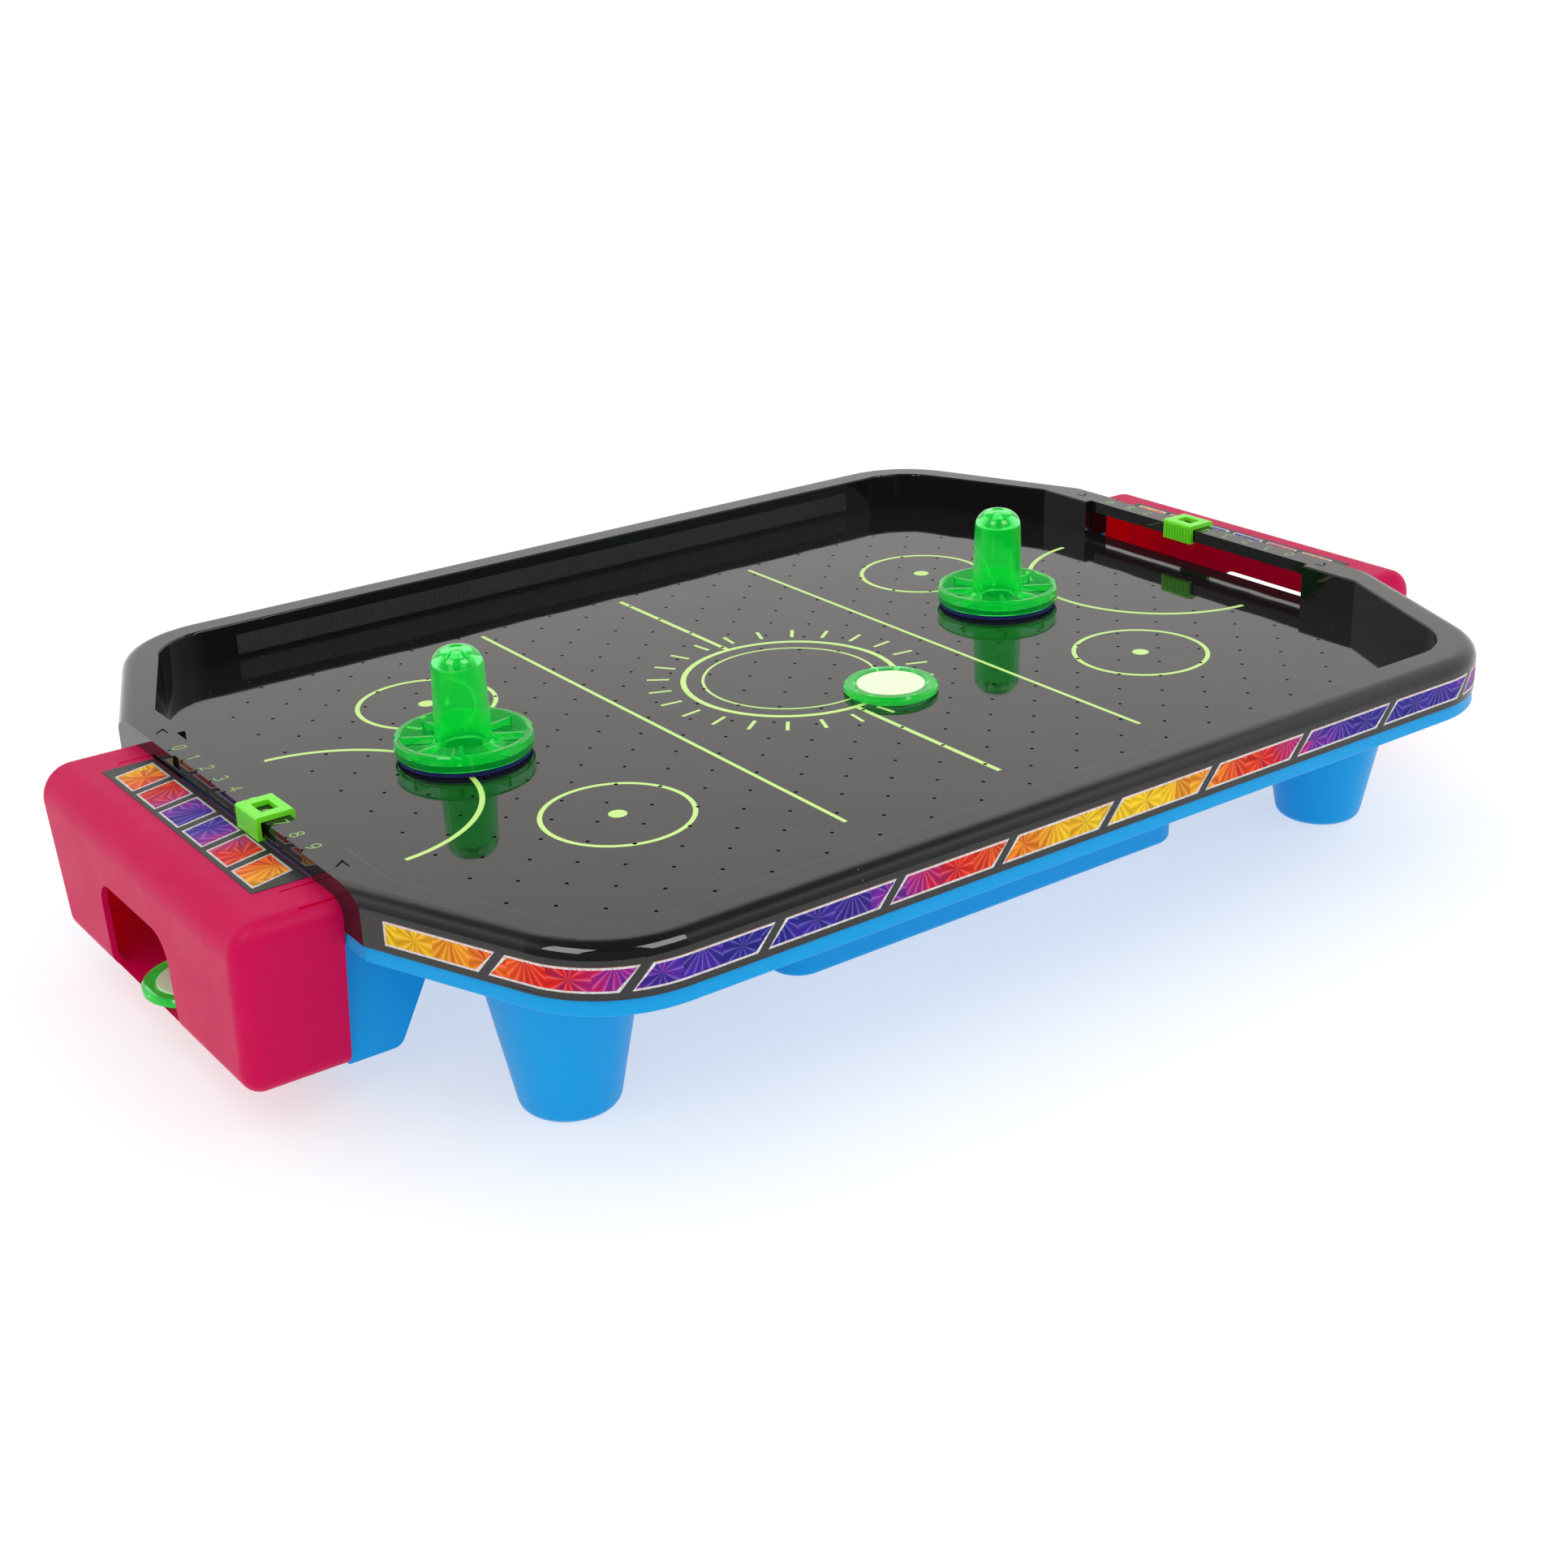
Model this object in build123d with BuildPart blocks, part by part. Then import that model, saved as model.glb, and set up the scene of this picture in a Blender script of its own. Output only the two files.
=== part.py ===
from build123d import *
import os
from math import cos, sin, radians, hypot

# Tabletop air hockey game, millimetres, +Z up.
# Origin: centre of the footprint on the table plane. X runs from goal to goal,
# -Y is the front and +Y the back.
# HALF in a name marks half a width. Shapes at the +X goal are turned or mirrored for -X.

os.makedirs("parts", exist_ok=True)

# ---------------------------------------------------------------- driving dimensions
LENGTH = 490.0                      # over both goal boxes
WIDTH = 330.0                       # over the long sides
RAIL_TOP = 75.0
PLAY_Z = 61.5                       # playing surface
PLATE_T = 2.1                       # perforated playing plate
SKIRT_Z = PLAY_Z - PLATE_T          # lower edge of the upper shell
WALL = 2.0                          # general moulded wall
OVERCUT = 1.0                       # how far cuts run past the face they open

# frame outline: end face and its half width, then where the diagonal meets the long side
END_X, END_Y = 212.0, 89.0
SIDE_X, SIDE_Y = 181.0, WIDTH / 2
CORNER_R = 39.0
# the same corners on the inner wall
IN_END_X, IN_END_Y = 200.0, 85.0
IN_SIDE_X, IN_SIDE_Y = 172.0, 151.0
IN_CORNER_R = 25.0

# goal mouths, and the score bridges over them
MOUTH_HALF = 59.0
MOUTH_TOP = 70.4                    # underside of the bridge
BRIDGE_X = 203.0                    # inner edge of the bridge
BRIDGE_MID = (BRIDGE_X + END_X) / 2
MOUTH_LENGTH = END_X + 4 - BRIDGE_X  # the cut runs past the end face
MOUTH_MID = BRIDGE_X + MOUTH_LENGTH / 2

# lower shell
TRAY_Z = 54.3                       # underside of the tray
TRAY_FLOOR = TRAY_Z + WALL
TRAY_TOP = SKIRT_Z - 0.1
BOX_Z = 13.3                        # underside of the housings and goal boxes
BOX_FLOOR = BOX_Z + WALL
HOUSING_X, HOUSING_Y = 84.0, 112.0  # half size of the centre housing

# goal boxes
GOAL_TOP = 69.0
GOAL_HALF_TOP, GOAL_HALF_FOOT = 78.5, 71.5
TONGUE_YS = (-67.5, 67.5)           # spring tongues that hold a goal box

# decoration let into the frame
BAND_T = 0.25
BAND_Z, BAND_H = 60.1, 9.3
BAND_END_Y = 92.0
LABEL_X, LABEL_T = 143.0, 0.2
LABEL_Z, LABEL_H = 62.9, 7.5
LABEL_Y = IN_SIDE_Y + LABEL_T / 2

# case screws join the two shells
SCREWS = [(x, y) for y in (158.0, -158.0) for x in (-120.0, 0.0, 120.0)]
SCREWS += [(x, y) for x in (190.0, -190.0) for y in (124.4, -124.4)]

# motor bosses on the fan shroud
MOTOR_BOSS_R, MOTOR_BOSS_Z = 38.0, 40.0
MOTOR_BOSSES = [(MOTOR_BOSS_R * cos(radians(a)), MOTOR_BOSS_R * sin(radians(a)))
                for a in (90, 210, 330)]
BRACKET_T = 2.4

# battery compartment, its screw and the slide switch
BATTERY_X, BATTERY_Y0, BATTERY_Y1 = 31.0, -105.0, -46.0
BATTERY_LENGTH = BATTERY_Y1 - BATTERY_Y0
BATTERY_MID = (BATTERY_Y0 + BATTERY_Y1) / 2
DOOR_SCREW_Y = BATTERY_Y1 + 4.0
SWITCH_X, SWITCH_Z = 46.0, 38.0

SIDES = (-1, 1)
HALF_TURN = Location((0, 0, 0), (0, 0, 180))


# ---------------------------------------------------------------- helpers
def level(z):
    """Horizontal plane at height z."""
    return Plane.XY.offset(z)


def front_facing(y):
    """Upright plane at y. Its normal is -Y, so a negative extrusion runs to the back."""
    return Plane.XZ.offset(-y)


def outline(end_x, end_y, side_x, side_y, corner_r):
    """Eight-sided outline with rounded corners on the long sides."""
    with BuildSketch() as shape:
        with BuildLine():
            Polyline((end_x, end_y), (side_x, side_y), (-side_x, side_y), (-end_x, end_y),
                     (-end_x, -end_y), (-side_x, -side_y), (side_x, -side_y), (end_x, -end_y),
                     close=True)
        make_face()
        fillet([v for v in shape.vertices() if abs(abs(v.Y) - side_y) < 0.1], corner_r)
    return shape.sketch


def grown(base, amount):
    """The base outline offset outwards, or inwards for a negative amount."""
    with BuildSketch() as shape:
        add(base)
        offset(amount=amount, kind=Kind.INTERSECTION)
    return shape.sketch


def ring(outer, inner, gap_half):
    """Ring between two outlines, left out at both ends for |y| below gap_half."""
    with BuildSketch() as shape:
        add(outer)
        add(inner, mode=Mode.SUBTRACT)
        Rectangle(2 * END_X + 10, 2 * gap_half, mode=Mode.SUBTRACT)
    return shape.sketch


def placed(form, *locations):
    """Copies of a form at the given locations."""
    with BuildPart() as piece:
        with Locations(*locations):
            add(form)
    return piece.part


def flat_plate(x, y, z, length, width, thickness):
    """Rectangular plate centred on x, y with its underside at z."""
    with BuildPart() as piece:
        with BuildSketch(level(z)):
            with Locations((x, y)):
                Rectangle(length, width)
        extrude(amount=thickness)
    return piece.part


def screw(head_r, head_h, shank_r, shank_l, slot_l, slot_w, slot_depth):
    """Cross-head screw pointing up, the seat of its head at the origin."""
    with BuildPart() as piece:
        Cylinder(head_r, head_h, align=(Align.CENTER, Align.CENTER, Align.MAX))
        Cylinder(shank_r, shank_l, align=(Align.CENTER, Align.CENTER, Align.MIN))
        with BuildSketch(level(-head_h)):
            Rectangle(slot_l, slot_w)
            Rectangle(slot_w, slot_l)
        extrude(amount=slot_depth, mode=Mode.SUBTRACT)
    return piece.part


# ---------------------------------------------------------------- shared outlines
OUTER = outline(END_X, END_Y, SIDE_X, SIDE_Y, CORNER_R)
INNER = outline(IN_END_X, IN_END_Y, IN_SIDE_X, IN_SIDE_Y, IN_CORNER_R)
RAIL_HOLLOW = ring(grown(OUTER, -WALL), grown(INNER, WALL), MOUTH_HALF + 2)
BAND_RING = ring(OUTER, grown(OUTER, -BAND_T), BAND_END_Y)
# locating rim of the tray, standing inside the skirt of the upper shell
RIM_RING = ring(grown(OUTER, -2.25), grown(OUTER, -3.75), MOUTH_HALF + 2.6)


def wall_distance(x, y):
    """Approximate distance from a point inside to the inner wall."""
    x, y = abs(x), abs(y)
    run_x, run_y = IN_END_X - IN_SIDE_X, IN_SIDE_Y - IN_END_Y
    run = hypot(run_x, run_y)
    normal_x, normal_y = run_y / run, run_x / run
    diagonal = normal_x * IN_END_X + normal_y * IN_END_Y - (normal_x * x + normal_y * y)
    side = IN_SIDE_Y - y
    corner = min(diagonal, side)
    if diagonal < 60 and side < 60:   # the rounded corner between the two walls
        corner = min(corner, diagonal * 0.62 + side * 0.62 - 4.0)
    return min(IN_END_X - x, corner)


# ---------------------------------------------------------------- playfield_top
RAIL_R = 5.3                        # rounded outer shoulder of the rail
INNER_RIM_R = 0.7
RAIL_HOLLOW_Z = 72.2                # roof of the hollow inside the rail
RECESS_HALF = 59.5                  # recess in front of a bridge
TONGUE_WINDOW = (2.4, 12.0, 3.4)    # along X, along Y, height
MARK_X = 205.0                      # angle marks at both ends of the score scale
MARK_YS = (66.2, -65.2)
MARK_DEPTH = 0.4
LEDGE_Z, LEDGE_W = 71.6, 0.9        # step along the outer edge of the bridge
SCALE_START, SCALE_END = 41.0, 53.0
DIGIT_FIRST, DIGIT_STEP = 46.5, 10.9    # places 0 to 9 of the score scale
NOTCH = 0.9
TOP_BOSS_R, TOP_PILOT_R, TOP_PILOT_DEPTH = 3.0, 1.22, 10.5

HOLE_D = 1.3                        # air holes
HOLE_STEP_X, HOLE_STEP_Y = 10.0, 10.5   # half pitches of the staggered pattern
HOLE_MARGIN = 23.0                  # clearance to the inner wall
AIR_HOLES = [(column * HOLE_STEP_X, row * HOLE_STEP_Y)
             for row in range(-14, 15) for column in range(-20, 21)
             if (column + row) % 2 == 0
             and wall_distance(column * HOLE_STEP_X, row * HOLE_STEP_Y) >= HOLE_MARGIN]


def on_inner_rim(edge):
    """True for a rail top edge that borders the playing area."""
    x, y = edge.center().X, edge.center().Y
    if abs(x) > IN_SIDE_X and hypot(x, y) > 216:
        return False
    return (abs(x) < IN_END_X + 0.5 and abs(y) < IN_SIDE_Y + 0.5
            and wall_distance(x, y) < 8)


def make_rail_shell():
    """Plate, inner wall and hollow rail, before the goal ends are cut."""
    with BuildPart() as shell:
        with BuildSketch(level(SKIRT_Z)):
            add(OUTER)
        extrude(amount=RAIL_TOP - SKIRT_Z)
        rim = shell.faces().sort_by(Axis.Z)[-1].edges()
        fillet([e for e in rim if abs(abs(e.center().X) - END_X) > 0.01], RAIL_R)
        # playing area
        with BuildSketch(level(PLAY_Z)):
            add(INNER)
        extrude(amount=RAIL_TOP - PLAY_Z, mode=Mode.SUBTRACT)
        top_edges = shell.edges().filter_by_position(Axis.Z, RAIL_TOP - 0.01, RAIL_TOP + 0.01)
        fillet([e for e in top_edges if on_inner_rim(e)], INNER_RIM_R)
        # hollow rail
        with BuildSketch(level(SKIRT_Z)):
            add(RAIL_HOLLOW)
        extrude(amount=RAIL_HOLLOW_Z - SKIRT_Z, mode=Mode.SUBTRACT)
    return shell.part


def make_playfield_top():
    """Black upper shell: perforated plate, inner wall, rail, skirt and score bridges."""
    shell = make_rail_shell()
    with BuildPart() as top:
        add(shell)
        for side in SIDES:
            # recess in front of the bridge
            with BuildSketch(level(PLAY_Z)):
                with Locations((side * (IN_END_X - 2 + BRIDGE_X) / 2, 0)):
                    Rectangle(BRIDGE_X - IN_END_X + 2, 2 * RECESS_HALF)
            extrude(amount=RAIL_TOP - PLAY_Z + OVERCUT, mode=Mode.SUBTRACT)
            # open mouth below the bridge
            with BuildSketch(level(SKIRT_Z - OVERCUT)):
                with Locations((side * MOUTH_MID, 0)):
                    Rectangle(MOUTH_LENGTH, 2 * MOUTH_HALF)
            extrude(amount=MOUTH_TOP - SKIRT_Z + OVERCUT, mode=Mode.SUBTRACT)
            # windows for the spring tongues of the goal box
            window_x, window_y, window_h = TONGUE_WINDOW
            for y in TONGUE_YS:
                with BuildSketch(level(GOAL_TOP - window_h)):
                    with Locations((side * (END_X - 1), y)):
                        Rectangle(window_x, window_y)
                extrude(amount=window_h, mode=Mode.SUBTRACT)
            # engraved angle marks
            with BuildSketch(level(RAIL_TOP)):
                for y in MARK_YS:
                    with BuildLine():
                        Polyline((side * MARK_X, -side * y),
                                 (side * MARK_X, -side * (y - 5.2)),
                                 (side * (MARK_X + 0.7), -side * (y - 5.2)),
                                 (side * (MARK_X + 0.7), -side * (y - 1.5)),
                                 (side * (MARK_X + 3.3), -side * (y - 3.6)),
                                 (side * (MARK_X + 3.8), -side * (y - 3.0)), close=True)
                    make_face()
            extrude(amount=-MARK_DEPTH, mode=Mode.SUBTRACT)
            # stepped outer edge of the bridge
            with BuildSketch(level(LEDGE_Z)):
                with Locations((side * (END_X - LEDGE_W / 2 + 0.5),
                                side * (SCALE_END - SCALE_START) / 2)):
                    Rectangle(LEDGE_W + 1, SCALE_END + SCALE_START)
            extrude(amount=RAIL_TOP - LEDGE_Z + OVERCUT, mode=Mode.SUBTRACT)
            # one notch per digit for the slider to click into
            with BuildSketch(level(RAIL_TOP - NOTCH)):
                for digit in range(10):
                    with Locations((side * (END_X - LEDGE_W - 0.25),
                                    side * (DIGIT_STEP * digit - DIGIT_FIRST))):
                        Rectangle(NOTCH, NOTCH)
            extrude(amount=2, mode=Mode.SUBTRACT)
        # screw bosses inside the rail
        with BuildSketch(level(SKIRT_Z)):
            with Locations(*SCREWS):
                Circle(TOP_BOSS_R)
        extrude(amount=RAIL_HOLLOW_Z + 0.5 - SKIRT_Z)
        with BuildSketch(level(SKIRT_Z)):
            with Locations(*SCREWS):
                Circle(TOP_PILOT_R)
        extrude(amount=TOP_PILOT_DEPTH, mode=Mode.SUBTRACT)
        # seats of the side bands and of the wall labels
        with BuildSketch(level(BAND_Z)):
            add(BAND_RING)
        extrude(amount=BAND_H, mode=Mode.SUBTRACT)
        with BuildSketch(level(LABEL_Z)):
            with Locations((0, -LABEL_Y), (0, LABEL_Y)):
                Rectangle(2 * LABEL_X, LABEL_T)
        extrude(amount=LABEL_H, mode=Mode.SUBTRACT)
        # air holes
        with BuildSketch(level(SKIRT_Z)):
            with Locations(*AIR_HOLES):
                Circle(HOLE_D / 2)
        extrude(amount=PLATE_T, mode=Mode.SUBTRACT)
    return top.part


# ---------------------------------------------------------------- side bands
def make_side_bands():
    """Front and back band, in that order."""
    with BuildPart() as bands:
        with BuildSketch(level(BAND_Z)):
            add(BAND_RING)
        extrude(amount=BAND_H)
    halves = bands.part.solids().sort_by(Axis.Y)
    return placed(halves[0], (0, 0, 0)), placed(halves[-1], (0, 0, 0))


# ---------------------------------------------------------------- bottom_tray
TRAY_INSET = 3.2                    # rim of the tray, measured in from the frame outline
TRAY_TAPER = 8                      # degrees, the side leans inwards going up
RIM_TOP = 62.8                      # top of the locating rim
OVERLAP = 0.5                       # how far added shapes run into what they join

LEGS = [(sx * 161.0, sy * 107.0) for sx in SIDES for sy in SIDES]
LEG_R_TOP, LEG_R_FOOT, LEG_FILLET = 25.4, 14.8, 3.5
HOUSING_CORNER_R = 10.0
CHUTE_HALF = 69.5
CHUTE_X_TOP, CHUTE_X_FOOT = 174.0, 195.0    # sloping back of a chute
FLANGE_T = 1.5
SILL_T = 1.8

SHROUD_R = 34.0
INTAKE_R, INTAKE_PITCH, INTAKE_SLOT = 30.0, 5.4, 2.6
BATTERY_ROOF, BATTERY_ROOF_T = 33.0, 1.6
TRAY_BOSS_R = 3.4
HEAD_RECESS_R, HEAD_RECESS_DEPTH = 2.9, 1.7
CLEARANCE_R = 1.45


def make_leg(foot_z, foot_r, top_z, top_r, fillet_r):
    """Cone standing on its small end, with a rounded foot."""
    with BuildPart() as leg:
        with BuildSketch(level(foot_z)):
            Circle(foot_r)
        with BuildSketch(level(top_z)):
            Circle(top_r)
        loft()
        fillet(leg.faces().sort_by(Axis.Z)[0].edges(), fillet_r)
    return leg.part


def make_tray_shell():
    """Shallow tray with its locating rim, solid legs and solid centre housing."""
    leg = make_leg(0, LEG_R_FOOT, TRAY_Z + OVERLAP, LEG_R_TOP, LEG_FILLET)
    with BuildPart() as shell:
        with BuildSketch(level(TRAY_Z)):
            add(OUTER)
            offset(amount=-0.1, kind=Kind.INTERSECTION)
        extrude(amount=TRAY_TOP - TRAY_Z, taper=TRAY_TAPER)
        fillet(shell.faces().sort_by(Axis.Z)[0].edges(), 0.8)
        with BuildSketch(level(TRAY_FLOOR)):
            add(OUTER)
            offset(amount=-TRAY_INSET, kind=Kind.INTERSECTION)
        extrude(amount=10, mode=Mode.SUBTRACT)
        # locating rim
        with BuildSketch(level(TRAY_FLOOR - OVERLAP)):
            add(RIM_RING)
        extrude(amount=RIM_TOP - TRAY_FLOOR + OVERLAP)
        with Locations(*LEGS):
            add(leg)
        # centre housing
        with BuildSketch(level(BOX_Z)):
            RectangleRounded(2 * HOUSING_X, 2 * HOUSING_Y, HOUSING_CORNER_R)
        extrude(amount=TRAY_Z + OVERLAP - BOX_Z)
        housing_floor = [f for f in shell.faces() if abs(f.center().Z - BOX_Z) < 0.01][0]
        fillet(housing_floor.edges(), 2.0)
    return shell.part


def make_hollow_tray():
    """Tray with the chutes added and the legs and centre housing hollowed."""
    shell = make_tray_shell()
    leg_hollow = make_leg(2.0, LEG_R_FOOT - WALL - 0.2, TRAY_FLOOR + 0.1, LEG_R_TOP - WALL, 2.0)
    chute_top = TRAY_Z + OVERLAP
    with BuildPart() as tray:
        add(shell)
        for side in SIDES:
            # chute behind the goal box
            with BuildSketch(Plane.XZ) as profile:
                with BuildLine():
                    Polyline((side * CHUTE_X_TOP, chute_top), (side * CHUTE_X_FOOT, BOX_Z),
                             (side * END_X, BOX_Z), (side * END_X, chute_top), close=True)
                make_face()
                fillet([v for v in profile.vertices()
                        if abs(abs(v.X) - CHUTE_X_FOOT) < 0.1], 4.0)
            extrude(amount=CHUTE_HALF, both=True)
            # end flange, slightly narrower than the goal box
            with BuildSketch(Plane.YZ.offset(side * (END_X - FLANGE_T / 2))):
                with BuildLine():
                    Polyline((-GOAL_HALF_FOOT + 2.2, BOX_Z), (GOAL_HALF_FOOT - 2.2, BOX_Z),
                             (GOAL_HALF_FOOT - 0.2, chute_top),
                             (-GOAL_HALF_FOOT + 0.2, chute_top), close=True)
                make_face()
            extrude(amount=FLANGE_T / 2, both=True)
            # inside of the chute, its floor falling towards the goal box
            with BuildSketch(Plane.XZ):
                with BuildLine():
                    Polyline((side * (CHUTE_X_TOP + 2.4), TRAY_Z),
                             (side * (CHUTE_X_FOOT - 0.4), BOX_Z + 5.8),
                             (side * (END_X + OVERCUT), BOX_FLOOR),
                             (side * (END_X + OVERCUT), TRAY_Z), close=True)
                make_face()
            extrude(amount=CHUTE_HALF - WALL, both=True, mode=Mode.SUBTRACT)
            # open throat below the goal mouth
            with BuildSketch(level(TRAY_Z - OVERCUT)):
                with Locations((side * MOUTH_MID, 0)):
                    Rectangle(MOUTH_LENGTH, 2 * MOUTH_HALF)
            extrude(amount=20, mode=Mode.SUBTRACT)
            # sill and two cheeks that close the air plenum
            with BuildSketch(level(TRAY_FLOOR - OVERLAP)):
                with Locations((side * (BRIDGE_X - SILL_T / 2), 0)):
                    Rectangle(SILL_T, 2 * MOUTH_HALF + 4)
                for y in SIDES:
                    with Locations((side * (BRIDGE_X + 3), y * (MOUTH_HALF + 1))):
                        Rectangle(8.0, 2.0)
            extrude(amount=TRAY_TOP - TRAY_FLOOR + OVERLAP)
        with Locations(*LEGS):
            add(leg_hollow, mode=Mode.SUBTRACT)
        # inside of the centre housing
        with BuildSketch(level(BOX_FLOOR)):
            RectangleRounded(2 * (HOUSING_X - WALL), 2 * (HOUSING_Y - WALL),
                             HOUSING_CORNER_R - WALL)
        extrude(amount=60 - BOX_Z, mode=Mode.SUBTRACT)
    return tray.part


def make_bottom_tray():
    """Blue lower shell: tray, four hollow legs, two chutes and the fan housing."""
    hollow_tray = make_hollow_tray()
    fitting_z = BOX_FLOOR - OVERLAP
    with BuildPart() as tray:
        add(hollow_tray)
        # fan shroud with three bosses for the motor bracket
        with BuildSketch(level(fitting_z)):
            Circle(SHROUD_R + WALL)
            Circle(SHROUD_R, mode=Mode.SUBTRACT)
            with Locations(*MOTOR_BOSSES):
                Circle(3.0)
        extrude(amount=MOTOR_BOSS_Z - fitting_z)
        with BuildSketch(level(MOTOR_BOSS_Z)):
            with Locations(*MOTOR_BOSSES):
                Circle(1.12)
        extrude(amount=-9.0, mode=Mode.SUBTRACT)
        # battery compartment
        with BuildSketch(level(fitting_z)):
            with Locations((0, BATTERY_MID)):
                Rectangle(2 * (BATTERY_X + WALL), BATTERY_LENGTH + 2 * WALL)
        extrude(amount=BATTERY_ROOF + BATTERY_ROOF_T - fitting_z)
        with BuildSketch(level(BOX_Z - OVERCUT)):
            with Locations((0, BATTERY_MID)):
                Rectangle(2 * BATTERY_X, BATTERY_LENGTH)
        extrude(amount=BATTERY_ROOF - BOX_Z + OVERCUT, mode=Mode.SUBTRACT)
        # boss of the battery door screw, with the seat of the door tab and the screw hole
        with BuildSketch(level(fitting_z)):
            with Locations((0, BATTERY_Y1 + 5.2)):
                Circle(3.4)
        extrude(amount=10.0)
        with BuildSketch(level(BOX_Z - OVERCUT)):
            with Locations((0, BATTERY_Y1 + 3.0)):
                Rectangle(9.0, 7.5)
        extrude(amount=1.9 + OVERCUT, mode=Mode.SUBTRACT)
        with BuildSketch(level(BOX_Z)):
            with Locations((0, DOOR_SCREW_Y)):
                Circle(1.3)
        extrude(amount=9.0, mode=Mode.SUBTRACT)
        # air intake: parallel slots with a middle bar, clipped to a circle
        with BuildSketch(level(BOX_Z - OVERCUT)):
            with GridLocations(0, INTAKE_PITCH, 1, 11):
                Rectangle(70, INTAKE_SLOT)
            Rectangle(3.0, 70, mode=Mode.SUBTRACT)
            Circle(INTAKE_R, mode=Mode.INTERSECT)
        extrude(amount=4, mode=Mode.SUBTRACT)
        # switch seat in the back wall: pad, outer pocket and opening for the knob
        with BuildSketch(front_facing(HOUSING_Y - WALL - 2.0)):
            with Locations((SWITCH_X, SWITCH_Z)):
                Rectangle(24, 11)
        extrude(amount=-2.5)
        with BuildSketch(front_facing(HOUSING_Y - 1.2)):
            with Locations((SWITCH_X, SWITCH_Z)):
                Rectangle(19, 8)
        extrude(amount=-3.0, mode=Mode.SUBTRACT)
        with BuildSketch(front_facing(HOUSING_Y - 6.0)):
            with Locations((SWITCH_X, SWITCH_Z)):
                Rectangle(10.6, 4.4)
        extrude(amount=-8.0, mode=Mode.SUBTRACT)
        # case screw bosses, head recesses and clearance holes
        with BuildSketch(level(TRAY_FLOOR - OVERLAP)):
            with Locations(*SCREWS):
                Circle(TRAY_BOSS_R)
        extrude(amount=TRAY_TOP - TRAY_FLOOR + OVERLAP)
        with Locations(*[(x, y, TRAY_Z) for x, y in SCREWS]):
            Cylinder(HEAD_RECESS_R, 2 * HEAD_RECESS_DEPTH, mode=Mode.SUBTRACT)
            Cylinder(CLEARANCE_R, 40, mode=Mode.SUBTRACT)
    return tray.part


# ---------------------------------------------------------------- goal boxes
GOAL_CORNER_X = 245.3     # top corner of the profile before its shoulder is rounded
GOAL_X_FOOT = 243.6       # outer face at the bottom
GOAL_TOP_R, GOAL_FOOT_R, GOAL_END_R = 11.0, 6.5, 5.8
EXIT_Y0, EXIT_Y1, EXIT_TOP, EXIT_R = -31.0, 22.0, 46.0, 9.0     # of the box at +X
EXIT_CUT_X = LENGTH / 2 - 22        # where the exit cut starts
SLIT_OFFSET, SLIT_L, SLIT_W = 6.4, 11.0, 0.9    # slits on both sides of a tongue
TONGUE_W = 9.0


def make_goal_box():
    """Goal box at +X, open towards the frame."""
    with BuildPart() as box:
        with BuildSketch(Plane.XZ) as profile:
            with BuildLine():
                Polyline((END_X, BOX_Z), (GOAL_X_FOOT, BOX_Z), (GOAL_CORNER_X, GOAL_TOP),
                         (END_X, GOAL_TOP), close=True)
            make_face()
            fillet([v for v in profile.vertices() if v.X > END_X + 5 and v.Y > 40], GOAL_TOP_R)
            fillet([v for v in profile.vertices() if v.X > END_X + 5 and v.Y < 20], GOAL_FOOT_R)
        extrude(amount=GOAL_HALF_TOP + 1, both=True)
        # sloping ends
        with BuildSketch(Plane.YZ.offset(END_X)):
            with BuildLine():
                Polyline((-GOAL_HALF_FOOT, BOX_Z), (GOAL_HALF_FOOT, BOX_Z),
                         (GOAL_HALF_TOP, GOAL_TOP), (-GOAL_HALF_TOP, GOAL_TOP), close=True)
            make_face()
        extrude(amount=GOAL_CORNER_X - END_X, mode=Mode.INTERSECT)
        ends = [f for f in box.faces() if abs(f.normal_at().Y) > 0.9]
        fillet([e for f in ends for e in f.edges() if abs(e.center().X - END_X) > 0.01],
               GOAL_END_R)
        back = [f for f in box.faces() if abs(f.center().X - END_X) < 0.01]
        offset(amount=-WALL, openings=back)
        # exit opening, cut down to the floor of the box
        with BuildSketch(Plane.YZ.offset(EXIT_CUT_X)) as exit_sketch:
            with Locations(((EXIT_Y0 + EXIT_Y1) / 2, (BOX_FLOOR + EXIT_TOP) / 2)):
                Rectangle(EXIT_Y1 - EXIT_Y0, EXIT_TOP - BOX_FLOOR)
            fillet([v for v in exit_sketch.vertices() if v.Y > 30], EXIT_R)
        extrude(amount=30, mode=Mode.SUBTRACT)
        # slits that free the spring tongues in the top
        with BuildSketch(level(GOAL_TOP - WALL - OVERCUT)):
            for y in TONGUE_YS:
                with Locations((END_X + SLIT_L / 2, y - SLIT_OFFSET),
                               (END_X + SLIT_L / 2, y + SLIT_OFFSET)):
                    Rectangle(SLIT_L, SLIT_W)
        extrude(amount=WALL + 2 * OVERCUT, mode=Mode.SUBTRACT)
        # tabs that reach into the frame, and the catch below the tip of each
        with BuildSketch(level(GOAL_TOP - WALL)):
            for y in TONGUE_YS:
                with Locations((END_X - 1.0, y)):
                    Rectangle(5.0, TONGUE_W)
        extrude(amount=1.6)
        with BuildSketch(level(GOAL_TOP - WALL + 0.2)):
            for y in TONGUE_YS:
                with Locations((END_X - 2.9, y)):
                    Rectangle(1.2, TONGUE_W)
        extrude(amount=-1.2)
    return box.part


# decoration sheet on top of a goal box
STICKER_GAP, STICKER_L, STICKER_W, STICKER_T = 0.3, 17.4, 115.0, 0.15

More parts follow.
